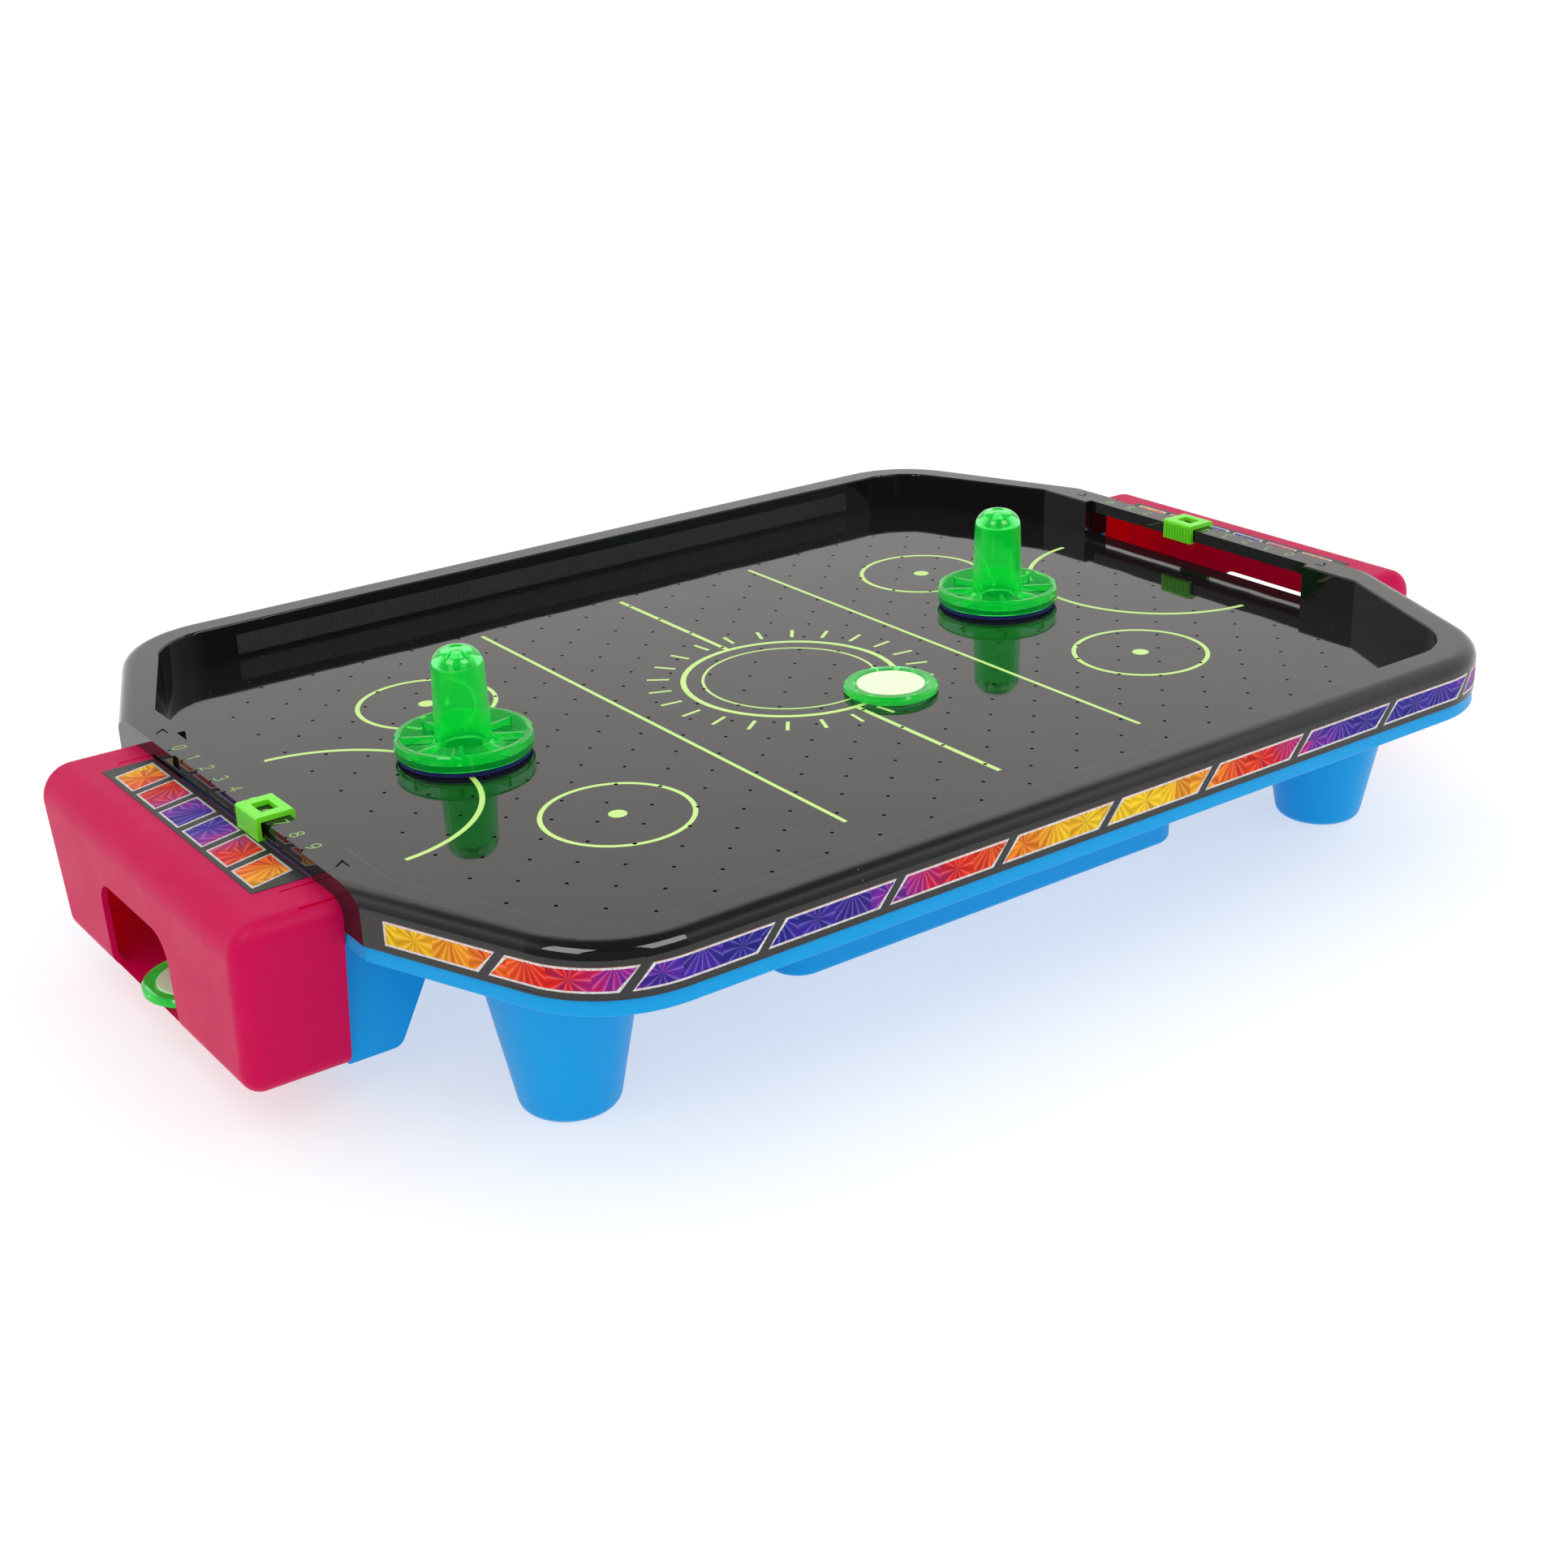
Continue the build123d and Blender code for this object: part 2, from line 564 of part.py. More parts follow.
# ---------------------------------------------------------------- score sliders
SLIDER_HALF = 7.5
SLIDER_LEFT_Y, SLIDER_RIGHT_Y = -19.0, 7.7
SLIDER_X, SLIDER_Z0, SLIDER_TOP = 6.2, 69.4, 76.9   # outside of the clip
SLOT_X, SLOT_Z0, SLOT_Z1 = 4.75, 70.1, 75.15        # inside, around the bridge
LIP_X = 4.1                                         # opening between the lower lips


def make_slider():
    """Clip that wraps the score bridge, with a window for the digit below."""
    with BuildPart() as slider:
        with BuildSketch(Plane.XZ) as profile:
            with BuildLine():
                Polyline((-SLIDER_X, SLIDER_Z0), (-SLIDER_X, SLIDER_TOP),
                         (SLIDER_X, SLIDER_TOP), (SLIDER_X, SLIDER_Z0),
                         (LIP_X, SLIDER_Z0), (LIP_X, SLOT_Z0), (SLOT_X, SLOT_Z0),
                         (SLOT_X, SLOT_Z1), (-SLOT_X, SLOT_Z1), (-SLOT_X, SLOT_Z0),
                         (-LIP_X, SLOT_Z0), (-LIP_X, SLIDER_Z0), close=True)
            make_face()
            fillet([v for v in profile.vertices() if v.Y > SLIDER_TOP - 0.4], 0.8)
        extrude(amount=SLIDER_HALF, both=True)
        with BuildSketch(level(RAIL_TOP)):
            RectangleRounded(5.6, 7.6, 0.4)
        extrude(amount=3, mode=Mode.SUBTRACT)
        # upright ridges on the side towards the playing area
        with BuildSketch(level(SLIDER_Z0 + 0.2)):
            for ridge in range(-4, 5):
                with Locations((-SLIDER_X - 0.1, 1.5 * ridge)):
                    Rectangle(0.6, 0.8)
        extrude(amount=6.2)
    return slider.part


# ---------------------------------------------------------------- strikers
STRIKER_R, STRIKER_H = 23.0, 37.0
STRIKER_LEFT = (-123.8, 13.0, PLAY_Z)
STRIKER_RIGHT = (110.6, 14.4, PLAY_Z)
GRIP_SHOULDER = (8.7, 30.5)
GRIP_TOP = (2.6, STRIKER_H)
# radius, height: underside, raised rim, dished top and outside of the grip
STRIKER_OUTSIDE = [
    (9.2, 1.9), (STRIKER_R - 0.6, 1.9), (STRIKER_R, 2.5), (STRIKER_R, 7.1),
    (STRIKER_R - 0.5, 7.6), (STRIKER_R - 1.9, 7.6), (STRIKER_R - 2.3, 7.2),
    (STRIKER_R - 2.5, 3.7), (11.4, 3.7), (9.6, 5.4), GRIP_SHOULDER,
]
# radius, height: dimple on top of the grip, then its hollow inside
STRIKER_INSIDE = [
    GRIP_TOP, (1.6, 36.5), (0, 36.4), (0, 34.6), (4.6, 34.2), (6.6, 31.0),
    (7.4, 6.0), (7.8, 3.2), (9.2, 1.9),
]


def make_striker():
    """Striker standing on the origin, with eight ribs in the dish around the grip."""
    with BuildPart() as striker:
        with BuildSketch(Plane.XZ):
            with BuildLine():
                Polyline(*STRIKER_OUTSIDE)
                Spline(GRIP_SHOULDER, (7.9, 33.8), (5.9, 36.0), GRIP_TOP,
                       tangents=((-0.035, 1), (-1, 0.12)))
                Polyline(*STRIKER_INSIDE)
            make_face()
        revolve(axis=Axis.Z)
        with BuildSketch(level(3.4)):
            with PolarLocations(15.6, 8, start_angle=12):
                Rectangle(11.2, 1.2)
        extrude(amount=3.0)
    return striker.part


def make_pad():
    """Ring under a striker."""
    with BuildPart() as pad:
        with BuildSketch(level(0.05)):
            Circle(STRIKER_R - 0.7)
            Circle(10.5, mode=Mode.SUBTRACT)
        extrude(amount=1.85)
    return pad.part


# ---------------------------------------------------------------- pucks
PUCK_R, PUCK_H = 16.5, 3.2
PUCK_DISH_Z = PUCK_H - 1.1          # bottom of the dish that holds the disc
PUCK = (19.0, -33.5, PLAY_Z)
SPARE_PUCK = (-228.3, 2.0, BOX_FLOOR)   # on the floor of the goal box at -X


def make_puck_ring():
    """Body of a puck, dished on top."""
    with BuildPart() as puck:
        with BuildSketch(Plane.XZ):
            with BuildLine():
                Polyline((0, 0.05), (PUCK_R - 0.9, 0.05), (PUCK_R, 0.8), (PUCK_R, PUCK_H - 0.8),
                         (PUCK_R - 0.8, PUCK_H), (13.0, PUCK_H), (12.4, PUCK_H - 0.5),
                         (12.2, PUCK_DISH_Z), (0, PUCK_DISH_Z), close=True)
            make_face()
        revolve(axis=Axis.Z)
    return puck.part


def make_puck_disc():
    """Disc lying in the dish of a puck."""
    with BuildPart() as disc:
        with BuildSketch(level(PUCK_DISH_Z)):
            Circle(12.0)
        extrude(amount=0.9)
        chamfer(disc.faces().sort_by(Axis.Z)[-1].edges(), 0.2)
    return disc.part


# ---------------------------------------------------------------- fan
CUP_Z, CUP_R, CUP_BORE_R = 31.6, 12.0, 10.25    # cup of the bracket, around the motor
MOTOR_Z, MOTOR_R, MOTOR_H = 33.3, 10.1, 20.0
MOTOR_COLLAR_R = 3.0
HUB_Z, HUB_R, HUB_H = 21.2, 7.0, 9.6
BLADES, BLADE_Z, BLADE_T = 6, 26.0, 1.1
# radius, chord length, pitch in degrees
BLADE_SECTIONS = [(6.0, 13.5, 32), (30.5, 17.0, 20)]


def make_motor_bracket():
    """Outer ring with screw lugs, three arms and the motor cup."""
    with BuildPart() as bracket:
        with BuildSketch(level(MOTOR_BOSS_Z)):
            Circle(36.0)
            Circle(31.5, mode=Mode.SUBTRACT)
            with Locations(*MOTOR_BOSSES):
                Circle(3.6)
            with PolarLocations(21.0, 3, start_angle=90):
                Rectangle(23.0, 4.0)
            Circle(CUP_R)
            Circle(CUP_BORE_R, mode=Mode.SUBTRACT)
            with Locations(*MOTOR_BOSSES):
                Circle(1.3, mode=Mode.SUBTRACT)
        extrude(amount=BRACKET_T)
        # wall and floor of the cup
        with BuildSketch(level(CUP_Z)):
            Circle(CUP_R)
            Circle(CUP_BORE_R, mode=Mode.SUBTRACT)
        extrude(amount=MOTOR_BOSS_Z - CUP_Z)
        with BuildSketch(level(CUP_Z)):
            Circle(CUP_R)
            Circle(3.6, mode=Mode.SUBTRACT)
        extrude(amount=1.6)
    return bracket.part


def make_fan_motor():
    """Motor can with a collar at each end, a shaft bore and two terminals on top."""
    with BuildPart() as motor:
        with BuildSketch(level(MOTOR_Z)):
            Circle(MOTOR_R)
        extrude(amount=MOTOR_H)
        fillet(motor.edges().filter_by(GeomType.CIRCLE), 0.8)
        for z, height in ((32.0, 1.8), (53.0, 1.6)):
            with BuildSketch(level(z)):
                Circle(MOTOR_COLLAR_R)
            extrude(amount=height)
        with BuildSketch(level(31.9)):
            Circle(1.06)
        extrude(amount=8.0, mode=Mode.SUBTRACT)
        with BuildSketch(level(53.0)):
            with Locations((-6.5, 0), (6.5, 0)):
                Rectangle(0.6, 2.4)
        extrude(amount=3.2)
    return motor.part


def make_motor_shaft():
    with BuildPart() as shaft:
        with BuildSketch(level(20.5)):
            Circle(1.0)
        extrude(amount=18.5)
        chamfer(shaft.faces().sort_by(Axis.Z)[0].edges(), 0.2)
    return shaft.part


def make_fan_impeller():
    """Hub with twisted blades, each lofted between two sections."""
    up = Vector(0, 0, 1)
    with BuildPart() as impeller:
        with BuildSketch(level(HUB_Z)):
            Circle(HUB_R)
        extrude(amount=HUB_H)
        fillet(impeller.faces().sort_by(Axis.Z)[0].edges(), 1.2)
        for blade in range(BLADES):
            angle = radians(360 / BLADES * blade)
            radial = Vector(cos(angle), sin(angle), 0)
            tangent = Vector(-sin(angle), cos(angle), 0)
            for radius, chord, pitch in BLADE_SECTIONS:
                chord_dir = tangent * cos(radians(pitch)) + up * sin(radians(pitch))
                with BuildSketch(Plane(origin=radial * radius + up * BLADE_Z,
                                       x_dir=chord_dir, z_dir=radial)):
                    RectangleRounded(chord, BLADE_T, 0.5)
            loft()
        # shaft bore
        with BuildSketch(level(20)):
            Circle(1.02)
        extrude(amount=12, mode=Mode.SUBTRACT)
    return impeller.part


# ---------------------------------------------------------------- screws
CASE_SCREW_Z = TRAY_Z + HEAD_RECESS_DEPTH   # seat of the heads


def make_case_screws():
    form = screw(head_r=2.6, head_h=1.5, shank_r=1.2, shank_l=12.0,
                 slot_l=2.8, slot_w=0.55, slot_depth=0.7)
    return placed(form, *[(x, y, CASE_SCREW_Z) for x, y in SCREWS])


def make_motor_screws():
    """Screws through the bracket lugs, turned to point down."""
    form = screw(head_r=2.3, head_h=1.5, shank_r=1.1, shank_l=8.0,
                 slot_l=2.6, slot_w=0.5, slot_depth=0.7)
    return placed(form, *[Location((x, y, MOTOR_BOSS_Z + BRACKET_T), (180, 0, 0))
                          for x, y in MOTOR_BOSSES])


def make_door_screw():
    form = screw(head_r=2.4, head_h=1.3, shank_r=1.2, shank_l=8.0,
                 slot_l=2.6, slot_w=0.5, slot_depth=0.6)
    return placed(form, (0, DOOR_SCREW_Y, BOX_Z))


# ---------------------------------------------------------------- batteries
CELL_R, CELL_L = 7.1, 49.0
CELL_PITCH = 15.2
CELL_XS = [CELL_PITCH * place for place in (-1.5, -0.5, 0.5, 1.5)]
CELL_Z = BOX_FLOOR + 0.5 + CELL_R
CELL_Y0 = -101.5
CELL_Y1 = CELL_Y0 + CELL_L
NUB_R, NUB_L = 2.7, 1.3

CONTACT_Y0, CONTACT_Y1 = BATTERY_Y0 + 0.05, BATTERY_Y1 - 0.05
CONTACT_SIZE, CONTACT_T = 11.0, 0.4
COILS = 3
COIL_R_PLATE, COIL_R_CELL = 4.6, 3.1    # widest coil at the plate, narrowest at the cell
COIL_WIRE_R = 0.3
COIL_END_GAP = 0.35

DOOR_T = 1.8


def make_battery_cells():
    """Four cells along Y, alternate ones with the nub to the front."""
    with BuildPart() as cells:
        for n, x in enumerate(CELL_XS):
            nub_in_front = n % 2
            with BuildSketch(front_facing(CELL_Y0)):
                with Locations((x, CELL_Z)):
                    Circle(CELL_R)
            extrude(amount=-CELL_L)
            with BuildSketch(front_facing(CELL_Y0 if nub_in_front else CELL_Y1)):
                with Locations((x, CELL_Z)):
                    Circle(NUB_R)
            extrude(amount=NUB_L if nub_in_front else -NUB_L)
        fillet(cells.edges().filter_by(GeomType.CIRCLE)
               .filter_by(lambda e: abs(e.radius - CELL_R) < 0.01), 0.6)
    return cells.part


def make_contact_plates():
    """Flat plates at both ends of every cell."""
    with BuildPart() as plates:
        for x in CELL_XS:
            for y, direction in ((CONTACT_Y0, 1), (CONTACT_Y1, -1)):
                with BuildSketch(front_facing(y)):
                    with Locations((x, CELL_Z)):
                        RectangleRounded(CONTACT_SIZE, CONTACT_SIZE, 1.0)
                extrude(amount=-CONTACT_T * direction)
    return plates.part


def make_contact_springs():
    """Conical springs at the flat end of each cell, as rings joined by a bar."""
    coil_step = (COIL_R_PLATE - COIL_R_CELL) / (COILS - 1)
    with BuildPart() as springs:
        for n, x in enumerate(CELL_XS):
            if n % 2:   # nub in front, spring at the back
                y0, y1 = CELL_Y1 + 0.1, CONTACT_Y1 - 0.5
                first_r, step_r = COIL_R_CELL, coil_step
            else:
                y0, y1 = CONTACT_Y0 + 0.5, CELL_Y0 - 0.1
                first_r, step_r = COIL_R_PLATE, -coil_step
            span = y1 - y0
            for coil in range(COILS):
                radius = first_r + step_r * coil
                y = y0 + COIL_END_GAP + (span - 2 * COIL_END_GAP) * coil / (COILS - 1)
                with BuildSketch(Plane(origin=(x + radius, y, CELL_Z), z_dir=(0, 0, 1))):
                    Circle(COIL_WIRE_R)
                revolve(axis=Axis((x, y, CELL_Z), (0, 1, 0)))
            with Locations((x, (y0 + y1) / 2, CELL_Z - 4.0)):
                Box(0.5, span - 0.4, 1.9)
    return springs.part


def make_battery_door():
    """Door with a screw tab at the back."""
    with BuildPart() as door:
        with BuildSketch(level(BOX_Z)):
            with Locations((0, BATTERY_MID)):
                Rectangle(2 * BATTERY_X - 0.4, BATTERY_LENGTH - 0.4)
        extrude(amount=DOOR_T)
        with BuildSketch(level(BOX_Z)):
            with Locations((0, BATTERY_Y1 + 2.9)):
                Rectangle(8.6, 7.0)
        extrude(amount=DOOR_T)
        with BuildSketch(level(BOX_Z)):
            with Locations((0, DOOR_SCREW_Y)):
                Circle(1.35)
        extrude(amount=DOOR_T, mode=Mode.SUBTRACT)
        # finger grooves below
        with BuildSketch(level(BOX_Z)):
            with Locations((0, BATTERY_Y0 + 8)):
                with GridLocations(0, 2.4, 1, 4):
                    Rectangle(24, 1.0)
        extrude(amount=0.5, mode=Mode.SUBTRACT)
        # stiffening ribs between the cells
        with BuildSketch(level(BOX_Z + DOOR_T)):
            with GridLocations(CELL_PITCH, 0, 3, 1):
                with Locations((0, BATTERY_MID)):
                    Rectangle(1.0, 30)
        extrude(amount=1.2)
    return door.part


# ---------------------------------------------------------------- switch
SWITCH_Y = HOUSING_Y - 4.1          # back face of the switch body
SWITCH_DEPTH = 5.5
KNOB_X, KNOB_Y = SWITCH_X - 2.3, HOUSING_Y + 1.0
KNOB_W, KNOB_H = 4.6, 3.6


def make_power_switch():
    """Switch body, open to the back, with three pins to the front."""
    with BuildPart() as switch:
        with BuildSketch(front_facing(SWITCH_Y)):
            with Locations((SWITCH_X, SWITCH_Z)):
                Rectangle(16.0, 7.4)
        extrude(amount=SWITCH_DEPTH)
        with BuildSketch(front_facing(SWITCH_Y)):
            with Locations((SWITCH_X, SWITCH_Z)):
                Rectangle(10.2, 4.0)
        extrude(amount=2.6, mode=Mode.SUBTRACT)
        for pin in (-1, 0, 1):
            with BuildSketch(front_facing(SWITCH_Y - SWITCH_DEPTH)):
                with Locations((SWITCH_X + 4.5 * pin, SWITCH_Z)):
                    Rectangle(1.2, 0.5)
            extrude(amount=3.0)
    return switch.part


def make_switch_knob():
    """Knob with three grooves in its back face."""
    with BuildPart() as knob:
        with BuildSketch(front_facing(KNOB_Y)):
            with Locations((KNOB_X, SWITCH_Z)):
                Rectangle(KNOB_W, KNOB_H)
        extrude(amount=7.4)
        with BuildSketch(front_facing(KNOB_Y)):
            with Locations((KNOB_X, SWITCH_Z)):
                with GridLocations(1.5, 0, 3, 1):
                    Rectangle(0.5, KNOB_H)
        extrude(amount=0.5, mode=Mode.SUBTRACT)
    return knob.part


# ---------------------------------------------------------------- wires
WIRE_R = 0.7
# x, y, z of the points each wire runs through
BATTERY_TO_SWITCH = [(34.5, -70, 30), (46, -50, 24), (60, 0, 21), (60, 60, 24),
                     (52, 92, 33), (50.5, 97.5, 37.2)]
BATTERY_TO_MOTOR = [(-34.5, -70, 30), (-48, -48, 32), (-44, -16, 44), (-20, -4, 55.5),
                    (-7.8, 0, 55.2)]
SWITCH_TO_MOTOR = [(46, 97.5, 37.2), (44, 84, 36), (44, 50, 42), (28, 14, 54),
                   (7.8, 0, 55.2)]


def make_wire(points):
    with BuildPart() as wire:
        with BuildLine() as path:
            Spline(*points)
        with BuildSketch(Plane(origin=path.line @ 0, z_dir=path.line % 0)):
            Circle(WIRE_R)
        sweep()
    return wire.part


# ---------------------------------------------------------------- assembly and export
band_front, band_back = make_side_bands()
goal_box = make_goal_box()
sticker = flat_plate(END_X + STICKER_GAP + STICKER_L / 2, 0, GOAL_TOP,
                     STICKER_L, STICKER_W, STICKER_T)
slider_form = make_slider()
striker_form, pad_form = make_striker(), make_pad()
ring_form, disc_form = make_puck_ring(), make_puck_disc()

pieces = {
    "playfield_top": make_playfield_top(),
    "side_band_front": band_front,
    "side_band_back": band_back,
    "wall_label_front": flat_plate(0, -LABEL_Y, LABEL_Z, 2 * LABEL_X, LABEL_T, LABEL_H),
    "wall_label_back": flat_plate(0, LABEL_Y, LABEL_Z, 2 * LABEL_X, LABEL_T, LABEL_H),
    "bottom_tray": make_bottom_tray(),
    "goal_box_left": placed(goal_box, HALF_TURN),
    "goal_box_right": goal_box,
    "goal_sticker_left": placed(sticker, HALF_TURN),
    "goal_sticker_right": sticker,
    "score_slider_left": placed(
        slider_form, Location((-BRIDGE_MID, SLIDER_LEFT_Y, 0), (0, 0, 180))),
    "score_slider_right": placed(slider_form, (BRIDGE_MID, SLIDER_RIGHT_Y, 0)),
    "striker_left": placed(striker_form, STRIKER_LEFT),
    "striker_left_pad": placed(pad_form, STRIKER_LEFT),
    "striker_right": placed(striker_form, STRIKER_RIGHT),
    "striker_right_pad": placed(pad_form, STRIKER_RIGHT),
    "puck_ring": placed(ring_form, PUCK),
    "puck_disc": placed(disc_form, PUCK),
    "spare_puck_ring": placed(ring_form, SPARE_PUCK),
    "spare_puck_disc": placed(disc_form, SPARE_PUCK),
    "motor_bracket": make_motor_bracket(),
    "fan_motor": make_fan_motor(),
    "motor_shaft": make_motor_shaft(),
    "fan_impeller": make_fan_impeller(),
    "motor_screws": make_motor_screws(),
    "case_screws": make_case_screws(),
    "battery_cells": make_battery_cells(),
    "contact_plates": make_contact_plates(),
    "contact_springs": make_contact_springs(),
    "battery_door": make_battery_door(),
    "battery_door_screw": make_door_screw(),
    "power_switch": make_power_switch(),
    "switch_knob": make_switch_knob(),
    "wire_red": make_wire(BATTERY_TO_SWITCH),
    "wire_black": make_wire(BATTERY_TO_MOTOR),
    "wire_yellow": make_wire(SWITCH_TO_MOTOR),
}
for name, piece in pieces.items():
    piece.label = name
    export_step(piece, f"parts/{name}.step")
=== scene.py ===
"""Looks of a table-top air hockey game.

The long axis lies on X with a goal at each end, the front side faces -Y and the floor is z = 0.
Blender works in metres. Printed art is drawn in millimetres and placed through MM.
"""
import math

import bmesh
import bpy
from mathutils import Matrix, Vector, noise
from mathutils.geometry import delaunay_2d_cdt

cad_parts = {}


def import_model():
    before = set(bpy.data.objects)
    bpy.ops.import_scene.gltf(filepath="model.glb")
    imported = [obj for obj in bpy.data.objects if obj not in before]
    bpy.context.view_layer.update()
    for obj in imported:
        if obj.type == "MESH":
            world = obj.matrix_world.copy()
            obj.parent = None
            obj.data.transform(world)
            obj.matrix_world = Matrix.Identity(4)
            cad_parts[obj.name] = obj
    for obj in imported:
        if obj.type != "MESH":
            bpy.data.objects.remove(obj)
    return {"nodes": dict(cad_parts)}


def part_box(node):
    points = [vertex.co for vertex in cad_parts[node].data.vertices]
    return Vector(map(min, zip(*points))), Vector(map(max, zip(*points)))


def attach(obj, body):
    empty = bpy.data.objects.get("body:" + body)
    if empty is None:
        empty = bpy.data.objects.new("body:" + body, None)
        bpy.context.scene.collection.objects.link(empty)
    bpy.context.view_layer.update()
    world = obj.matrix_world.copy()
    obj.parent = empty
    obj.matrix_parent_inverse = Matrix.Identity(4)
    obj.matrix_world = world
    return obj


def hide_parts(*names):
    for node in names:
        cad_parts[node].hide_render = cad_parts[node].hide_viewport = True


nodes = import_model()["nodes"]
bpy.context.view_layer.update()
MM = 0.001

# ------------------------------------------------------------------ places in the CAD frame
top_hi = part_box("playfield_top")[1]
puck_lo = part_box("puck_ring")[0]
band_lo, band_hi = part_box("side_band_front")
sticker_lo, sticker_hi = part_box("goal_sticker_left")
slider_lo, slider_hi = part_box("score_slider_left")
RAIL_TOP = top_hi.z
PLAY_Z = puck_lo.z - 0.05 * MM  # the puck floats this little above the playing surface


def add_object(name, data):
    obj = bpy.data.objects.new(name, data)
    bpy.context.scene.collection.objects.link(obj)
    return obj


# ------------------------------------------------------------------ shader node helpers
class Shading:
    """The node tree of a material or world, with short calls for the common nodes."""

    def __init__(self, owner, output_kind):
        self.owner = owner
        owner.use_nodes = True
        self.tree = owner.node_tree
        self.tree.nodes.clear()
        self.out = self.node(output_kind)
        self.coord = self.node("ShaderNodeTexCoord")

    def node(self, kind, inputs=(), **settings):
        """A node with its settings and its inputs, given by name or index."""
        node = self.tree.nodes.new(kind)
        for key, value in settings.items():
            setattr(node, key, value)
        for key, value in dict(inputs).items():
            self.put(node.inputs[key], value)
        return node

    def put(self, socket, value):
        """Link a socket or a node's first output, or set a plain value."""
        if isinstance(value, bpy.types.NodeSocket):
            self.tree.links.new(value, socket)
        elif isinstance(value, bpy.types.Node):
            self.tree.links.new(value.outputs[0], socket)
        elif socket.type == "RGBA":
            socket.default_value = (*value, 1.0)
        else:
            socket.default_value = value

    def math(self, operation, a, b=0.0, c=0.0, clamp=False):
        inputs = {0: a, 1: b, 2: c}
        return self.node("ShaderNodeMath", inputs, operation=operation, use_clamp=clamp).outputs[0]

    def mix(self, factor, a, b):
        return self.node("ShaderNodeMix", {0: factor, 6: a, 7: b}, data_type="RGBA").outputs[2]

    def mix_float(self, factor, a, b):
        return self.node("ShaderNodeMix", {0: factor, 2: a, 3: b}, data_type="FLOAT").outputs[0]

    def mix_shader(self, factor, a, b):
        return self.node("ShaderNodeMixShader", {0: factor, 1: a, 2: b})

    def ramp(self, factor, stops):
        """Colour ramp; stops are (place, colour or grey value)."""
        node = self.node("ShaderNodeValToRGB", {0: factor})
        elements = node.color_ramp.elements
        while len(elements) < len(stops):
            elements.new(0.5)
        for element, (place, colour) in zip(elements, stops):
            element.position = place
            rgb = colour if isinstance(colour, tuple) else (colour,) * 3
            element.color = (*rgb, 1.0)
        return node.outputs[0]

    def noise(self, scale, detail=3.0, rough=0.5, stretch=None, distortion=0.0):
        source = self.coord.outputs["Object"]
        if stretch is not None:
            source = self.node("ShaderNodeMapping", {"Vector": source, "Scale": stretch})
        return self.node("ShaderNodeTexNoise", {
            "Vector": source, "Scale": scale, "Detail": detail, "Roughness": rough,
            "Distortion": distortion}).outputs["Fac"]

    def bump(self, height, strength, distance, normal=None):
        inputs = {"Height": height, "Strength": strength, "Distance": distance}
        if normal is not None:
            inputs["Normal"] = normal
        return self.node("ShaderNodeBump", inputs).outputs["Normal"]

    def remap(self, value, within, to):
        return self.node("ShaderNodeMapRange", {
            "Value": value, "From Min": within[0], "From Max": within[1],
            "To Min": to[0], "To Max": to[1]}).outputs[0]

    def split(self, vector):
        """The x, y and z outputs of a vector."""
        return self.node("ShaderNodeSeparateXYZ", {0: vector}).outputs

    def principled(self, inputs):
        return self.node("ShaderNodeBsdfPrincipled", inputs)

    def finish(self, shader):
        self.put(self.out.inputs["Surface"], shader)
        return self.owner


def new_material(name):
    return Shading(bpy.data.materials.new(name), "ShaderNodeOutputMaterial")


def srgb(r, g, b):
    """Linear colour from 0-255 sRGB values."""
    def linear(c):
        c = c / 255.0
        return c / 12.92 if c <= 0.04045 else ((c + 0.055) / 1.055) ** 2.4
    return (linear(r), linear(g), linear(b))


def toned(colour, factor, lift=0.0):
    return tuple(min(1.0, c * factor + lift) for c in colour)


# ------------------------------------------------------------------ materials
def specks(m, scale, size):
    """Sparse tiny dust specks, 1 on a speck and 0 elsewhere."""
    cells = m.node("ShaderNodeTexVoronoi", {"Vector": m.coord.outputs["Object"], "Scale": scale},
                   feature="F1")
    near = m.math("LESS_THAN", cells.outputs["Distance"], size)
    pick = m.node("ShaderNodeSeparateColor", {0: cells.outputs["Color"]})
    threshold = 0.72  # cells whose random red lies above this carry a speck
    few = m.math("GREATER_THAN", pick.outputs[0], threshold)
    return m.math("MULTIPLY", near, few)


